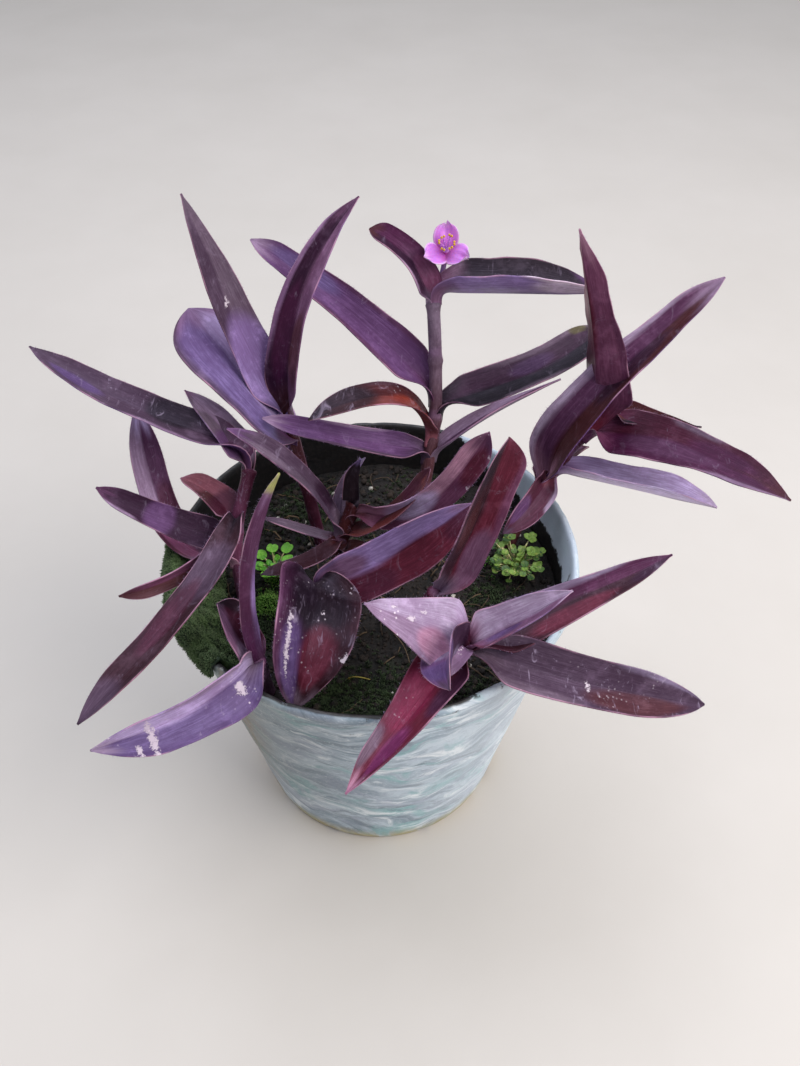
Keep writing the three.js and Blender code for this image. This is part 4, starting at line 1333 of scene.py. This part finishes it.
def stamen_material():
    paint = Paint("stamen")
    grain = paint.noise(paint.place(), 2600, 4, 0.7)
    pollen = paint.blend(paint.smooth(grain, 0.4, 0.65), "c98f14", "f4d648")
    stalk = paint.blend(paint.smooth(grain, 0.4, 0.65), "b05ac8", "d79be2")
    colour = paint.blend(paint.value("yellow"), stalk, pollen)
    paint.bump(grain, 0.5, 0.0002)
    return paint.finish(colour, 0.7)


def stamen_hair_material():
    paint = Paint("stamen_hair")
    tone = paint.noise(paint.place(), 1500, 2)
    return paint.finish(paint.blend(tone, "c982dc", "eac6f4"), 0.55)


# ---------------------------------------------------------------- moss, seedlings and grass

MOSS_FROM = 170
MOSS_TO = 226
MOSS_FOOT = 13
MOSS_HEM = 9
MOSS_THICKNESS = 3


def moss_section(share):
    """Two skins across the bank, as radius and height: the open one and the one along the pot."""
    floor = SOIL_TOP + SOIL_RELIEF * 1.5 + 0.3
    wall_foot = inside_radius(floor) - 0.5
    lip_inside = inside_radius(POT_HEIGHT) - 0.5
    lip_outside = POT_RIM_RADIUS + 0.5
    top = POT_HEIGHT + 0.3
    fullness = math.sin(math.pi * mix(0.08, 0.92, share)) ** 0.4
    spread = MOSS_THICKNESS * fullness
    low = top - MOSS_HEM * fullness

    def knob(k):
        return 1 + 0.22 * math.sin(7 * k + 31 * share) + 0.12 * math.sin(3 * k - 53 * share)

    away = [
        (wall_foot - MOSS_FOOT * fullness, floor + 1),
        (wall_foot - MOSS_FOOT * fullness * 0.55, floor + 6 * fullness * knob(1)),
        (lip_inside - spread * 0.9 * knob(2), top - 2),
        (lip_inside, top + spread * 0.45 * knob(3)),
        (lip_outside, top + spread * 0.4 * knob(4)),
        (lip_outside + spread * 0.6 * knob(5), top - 2.5),
        (lip_outside + 0.9, low),
    ]
    against = [
        (wall_foot - MOSS_FOOT * fullness + 1, floor - 1.5),
        (wall_foot, floor - 1.5),
        (lip_inside, top - 1),
        (lip_inside + 0.4, top),
        (lip_outside - 0.4, top),
        (lip_outside, top - 0.6),
        (lip_outside, low + 0.3),
    ]
    return np.array(away), np.array(against)


def moss_place(path, share, across):
    """A point of one of the bank's skins, across from 0 at its foot to 1 at its hem."""
    at = across * (len(path) - 1)
    radius = np.interp(at, range(len(path)), path[:, 0])
    angle = radians(mix(MOSS_FROM, MOSS_TO, share))
    z = np.interp(at, range(len(path)), path[:, 1])
    return polar(radius, angle, z)


def add_moss_tuft(skin, place, way, size, rng):
    """A tiny star of pointed leaves around a short shoot."""
    way = unit(way)
    side = unit(np.cross(way, (0.37, 0.81, 0.45)))
    up = np.cross(side, way)
    shade = rng.uniform(0, 1)
    turn = rng.uniform(0, 2 * math.pi)
    leaves = int(rng.integers(5, 8))
    for i in range(leaves):
        angle = turn + 2 * math.pi * i / leaves
        out = side * math.cos(angle) + up * math.sin(angle)
        wing = np.cross(way, out)
        lean = rng.uniform(0.5, 1.1)
        tip = place + (out * lean + way * 0.9) * size
        belly = place + (out * lean * 0.55 + way * 0.35) * size
        points = [place, belly + wing * size * 0.2, tip, belly - wing * size * 0.2, belly - way * size * 0.14]
        faces = [(0, 1, 2), (0, 2, 3), (0, 4, 1), (1, 4, 2), (2, 4, 3), (3, 4, 0)]
        skin.add(points, faces, shade=shade, point=[0, 0.4, 1, 0.4, 0.2])


def scatter_moss(name, places, tones, rng):
    """Cushions of moss tufts on the soil: x, y, reach, height and number of tufts each."""
    skin = Skin()
    for x, y, reach, tall, count in places:
        for _ in range(count):
            aside = rng.normal(0, 0.6, 2)
            px = x + reach * aside[0]
            py = y + reach * aside[1]
            if math.hypot(px, py) > inside_radius(SOIL_TOP) - 1.5:
                continue
            swell = tall * math.exp(-aside[0] ** 2 - aside[1] ** 2) * rng.uniform(0.2, 1)
            place = np.array([px, py, soil_surface(px, py) - 0.1 + swell])
            way = rng.normal(0, 0.3, 3) + (aside[0] * tall * 0.3, aside[1] * tall * 0.3, 1)
            add_moss_tuft(skin, place, way, rng.uniform(0.6, 1.3) + 0.15 * tall, rng)
    skin.build(name, moss_material(name + "_green", tones))


# Where moss grows on the soil: x, y, reach, height of the cushion and number of tufts
DARK_MOSS = [
    (2, -58, 18, 0.6, 800),
    (-16, -54, 11, 0.8, 420),
    (34, -52, 11, 0.4, 220),
    (-46, -26, 9, 1.5, 300),
    (-34, -10, 9, 1.5, 300),
    (-58, 18, 8, 1, 260),
    (-30, 40, 16, 0.8, 420),
    (18, 44, 16, 0.8, 420),
    (-6, 14, 12, 0.8, 260),
    (44, -6, 9, 0.8, 220),
]
BRIGHT_MOSS = [
    (-40, -12, 4, 4.5, 220),
    (-37, 3, 4, 4, 160),
    (-28, -7, 3, 3, 90),
    (50, 10, 5, 3, 90),
]


def build_moss():
    rng = np.random.default_rng(MOSS_SEED)
    skin = Skin()
    steps = 90
    columns = 31
    rings = []
    for i in range(steps + 1):
        share = i / steps
        away, against = moss_section(share)
        for across in np.linspace(0, 1, columns):
            place = moss_place(away, share, across)
            bump = 0.5 * roughness(*place, 0.5, 4) * math.sin(math.pi * across)
            rings.append(place + np.array([0, 0, bump]))
        for across in np.linspace(1, 0, columns):
            rings.append(moss_place(against, share, across))
    # The sheet under the tufts takes the dark tone of the depth, partly painted shade.
    skin.add(rings, blade_faces(steps + 1, columns), shade=0.2, point=0)
    for _ in range(BANK_TUFTS):
        share = rng.uniform(0.01, 0.99)
        across = rng.uniform(0, 1)
        away, against = moss_section(share)
        place = moss_place(away, share, across)
        way = unit(place - moss_place(against, share, across)) + rng.normal(0, 0.35, 3) + (0, 0, 0.4)
        add_moss_tuft(skin, place - unit(way) * 0.2, way, rng.uniform(0.7, 1.5), rng)
    green = moss_material("moss_bank_green", ("12220f", "2b4a22", "53703a", "8ba06c"))
    skin.build("moss_bank", green, ["moss_left"])

    scatter_moss("moss_on_soil", DARK_MOSS, ("0c140a", "1f3315", "3a4a22", "55683a"), rng)
    scatter_moss("moss_cushions", BRIGHT_MOSS, ("235417", "4c8f2a", "74b83e", "b2d868"), rng)


def moss_material(name, tones):
    """Moss in four tones: in its depth, on its leaves, in drier patches and at the leaf tips.

    Darker in the depth and lighter at the tips: partly the moss's own colour and partly painted shade and
    light.
    """
    paint = Paint(name)
    place = paint.place()
    patch = paint.noise(place, 120, 3)
    colour = paint.blend(paint.value("shade"), tones[0], tones[1])
    colour = paint.coat(colour, tones[2], patch, 0.46, 0.66, 0, 0.6)
    # Lighter towards the leaf tips: partly paler tips, partly a painted highlight.
    colour = paint.coat(colour, tones[3], paint.value("point"), 0.3, 1, 0, 0.55)
    paint.bump(paint.noise(place, 1500, 3), 0.4, 0.0003)
    return paint.finish(colour, 0.75)


def add_round_leaf(skin, stem_end, heading, size, lean, rng):
    """A small round seedling leaf with a dent in front and a dished middle."""
    rings = 6
    sides = 26
    out = polar(1, heading)
    side = np.array([-math.sin(heading), math.cos(heading), 0])
    out_tilted = out * math.cos(lean) + np.array([0, 0, math.sin(lean)])
    above = np.cross(out_tilted, side)
    points = []
    shade = rng.uniform(0, 1)
    for under in (False, True):
        for ring in range(rings + 1):
            share = max(ring / rings, 0.03)
            for k in range(sides):
                angle = 2 * math.pi * k / sides
                notch = 1 - 0.22 * math.exp(-(((angle + math.pi) % (2 * math.pi) - math.pi) / 0.3) ** 2)
                u = size * share * notch * math.cos(angle) + size * 0.75
                v = size * share * notch * math.sin(angle) * 0.92
                dish = 0.22 * size * share ** 2 + 0.06 * size * math.sin(3 * angle) * share
                dish -= 0.1 * size * math.exp(-(v / (0.1 * size)) ** 2)
                place = stem_end + out_tilted * u + side * v + above * (dish - (0.22 if under else 0))
                points.append(place)
    top = ring_faces(rings + 1, sides, closed_ends=False)
    layer = (rings + 1) * sides
    faces = top + [tuple(i + layer for i in reversed(face)) for face in top]
    faces.append(tuple(range(sides - 1, -1, -1)))
    faces.append(tuple(range(layer, layer + sides)))
    rim = rings * sides
    for k in range(sides):
        following = (k + 1) % sides
        faces.append((rim + k, rim + following, layer + rim + following, layer + rim + k))
    skin.add(points, faces, shade=shade, stalk=0)


def build_seedling(name, node, x, y, leaves, reach, height, leaf_size, leaflets, fillers, seed, tones):
    """Thin pale stalks fanning out of one root, each with small round leaves."""
    rng = np.random.default_rng(seed)
    skin = Skin()
    floor = SOIL_TOP + SOIL_RELIEF * 1.5 + 0.3
    crown = [(x, y, soil_surface(x, y) - 0.5), (x, y, floor + 0.5), (x, y, floor + 1.6), (x, y, floor + 2.2)]
    add_tube(skin, crown, [1.2, 1, 0.8, 0.3], 12, shade=0.5, stalk=1)
    for i in range(leaves):
        angle = i * 2.4
        spread = reach * (0.55 + 0.45 * math.sin(i * 1.7) ** 2)
        lift = height * (0.6 + 0.4 * math.cos(i * 2.1) ** 2)
        start = np.array([x, y, floor + 1])
        line = []
        for share in np.linspace(0, 1, 9):
            rise = (lift - 1) * share + 1.2 * math.sin(math.pi * share)
            line.append(start + polar(spread * share, angle, rise))
        add_tube(skin, line, [0.42 - 0.02 * k for k in range(9)], 8, shade=0.5, stalk=1)
        for number in range(leaflets):
            heading = angle + 2 * math.pi * number / leaflets + rng.uniform(-0.2, 0.2)
            size = leaf_size * (0.62 if leaflets > 1 else 0.95)
            add_round_leaf(skin, line[-1], heading, size, rng.uniform(-0.1, 0.35), rng)
    for _ in range(fillers):
        angle = rng.uniform(0, 2 * math.pi)
        spread = reach * 0.85 * rng.uniform(0.03, 1)
        lift = height * rng.uniform(0.35, 0.95)
        start = np.array([x, y, floor + 1])
        end = start + polar(spread, angle, lift - 1)
        line = [mix(start, end, share) + (0, 0, math.sin(math.pi * share)) for share in np.linspace(0, 1, 7)]
        add_tube(skin, line, [0.24] * 7, 6, shade=0.5, stalk=1)
        size = leaf_size * rng.uniform(0.35, 0.6)
        add_round_leaf(skin, end, angle + rng.uniform(-1, 1), size, rng.uniform(-0.2, 0.6), rng)
    skin.build(name, seedling_material(name + "_green", tones), [node])


def seedling_material(name, tones):
    paint = Paint(name)
    place = paint.place()
    fine = paint.noise(place, 800, 4, 0.6)
    leaf = paint.blend(paint.value("shade"), tones[0], tones[1])
    leaf = paint.coat(leaf, tones[2], fine, 0.5, 0.68, 0, 0.45)
    stalk = paint.blend(paint.smooth(fine, 0.4, 0.6), "9a9c58", "c4b98c")
    colour = paint.blend(paint.value("stalk"), leaf, stalk)
    paint.bump(fine, 0.4, 0.0003)
    return paint.finish(colour, 0.5)


# Blades of grass: x and y, how far they lean along x and y, height, width and how yellow they are
GRASS = [
    (3, -1, 3, -1, 26, 1.1, 0.3),
    (-9, -45, 8, -5, 9, 1.0, 1),
]


def build_grass():
    """One thin blade of grass and a yellowed one, out of the soil among the stems."""
    skin = Skin()
    rings = 26
    for x, y, lean_x, lean_y, tall, width, yellow in GRASS:
        ground = soil_surface(x, y)
        rows = []
        for i in range(rings):
            t = i / (rings - 1)
            half = width / 2 * (1 - t ** 2.5) + 0.08
            rise = ground - 1 + tall * t * (1 - 0.12 * t)
            middle = np.array([x + lean_x * t * t, y + lean_y * t * t, rise])
            side = np.array([1, 0.25, 0])
            fold = np.array([0, 0.3 * half, 0])
            top = [middle - side * half + fold, middle, middle + side * half + fold]
            under = [point + np.array([0, 0.22, 0]) for point in reversed(top)]
            rows.extend([*top, *under])
        skin.add(rows, blade_faces(rings, 3), shade=yellow, stalk=0)
    skin.build("grass_blades", seedling_material("grass_green", ("5d7a2c", "b8a24a", "8ea44a")))


# ---------------------------------------------------------------- the whole piece

build_pot()
build_soil()
build_crumbs()
build_shoots()
build_flower()
build_moss()
build_seedling("seedling_left", "weed_left", x=-38, y=1, leaves=8, reach=6, height=9, leaf_size=2.6,
               leaflets=1, fillers=34, seed=61, tones=("3f8a1e", "7cc43c", "a2d858"))
build_seedling("seedling_right", "weed_right", x=53, y=4, leaves=9, reach=11, height=10, leaf_size=2.8,
               leaflets=3, fillers=80, seed=62, tones=("24481f", "6f8f3a", "a2a650"))
build_grass()


# ---------------------------------------------------------------- studio

def build_floor():
    reach = 1.6
    corners = [(-reach, -reach, 0), (reach, -reach, 0), (reach, reach, 0), (-reach, reach, 0)]
    mesh = bpy.data.meshes.new("floor")
    mesh.from_pydata(corners, [], [(0, 1, 2, 3)])
    paint = Paint("pale_floor")
    tone = paint.noise(paint.place(), 9, 4, 0.6)
    colour = paint.blend(tone, "bfb8b0", "cac3bc")
    mesh.materials.append(paint.finish(colour, 0.6))
    floor = bpy.data.objects.new("floor", mesh)
    bpy.context.scene.collection.objects.link(floor)


def add_softbox(name, place, aim, size, power, colour):
    lamp = bpy.data.lights.new(name, "AREA")
    lamp.shape = "RECTANGLE"
    lamp.size, lamp.size_y = size
    lamp.energy = power
    lamp.color = colour
    box = bpy.data.objects.new(name, lamp)
    box.location = place
    box.rotation_euler = (Vector(aim) - Vector(place)).to_track_quat("-Z", "Y").to_euler()
    bpy.context.scene.collection.objects.link(box)


def build_studio():
    world = bpy.data.worlds.new("soft_daylight")
    world.use_nodes = True
    background = world.node_tree.nodes["Background"]
    background.inputs["Color"].default_value = (0.86, 0.91, 1.0, 1)
    background.inputs["Strength"].default_value = 0.55
    bpy.context.scene.world = world
    add_softbox("window", (0.75, -0.35, 0.95), (0, 0, 0.12), (0.9, 0.7), 13, (1.0, 0.98, 0.96))
    add_softbox("sky", (-0.2, 0.35, 1.2), (0, 0, 0.12), (1.2, 0.9), 11, (0.86, 0.9, 1.0))
    bpy.context.scene.view_settings.view_transform = "Standard"


def build_camera():
    """Where the photograph was taken from: in front and above, looking down by 45 degrees."""
    lens = bpy.data.cameras.new("camera")
    lens.sensor_fit = "VERTICAL"
    lens.sensor_height = SENSOR_HEIGHT
    lens.lens = SENSOR_HEIGHT * FOCAL_PIXELS / PHOTO_HEIGHT
    lens.clip_start = 0.01
    camera = bpy.data.objects.new("camera", lens)
    camera.location = CAMERA_PLACE
    camera.rotation_euler = (math.pi / 2 - radians(CAMERA_DIP), 0, 0)
    bpy.context.scene.collection.objects.link(camera)
    bpy.context.scene.camera = camera


build_floor()
build_studio()
build_camera()
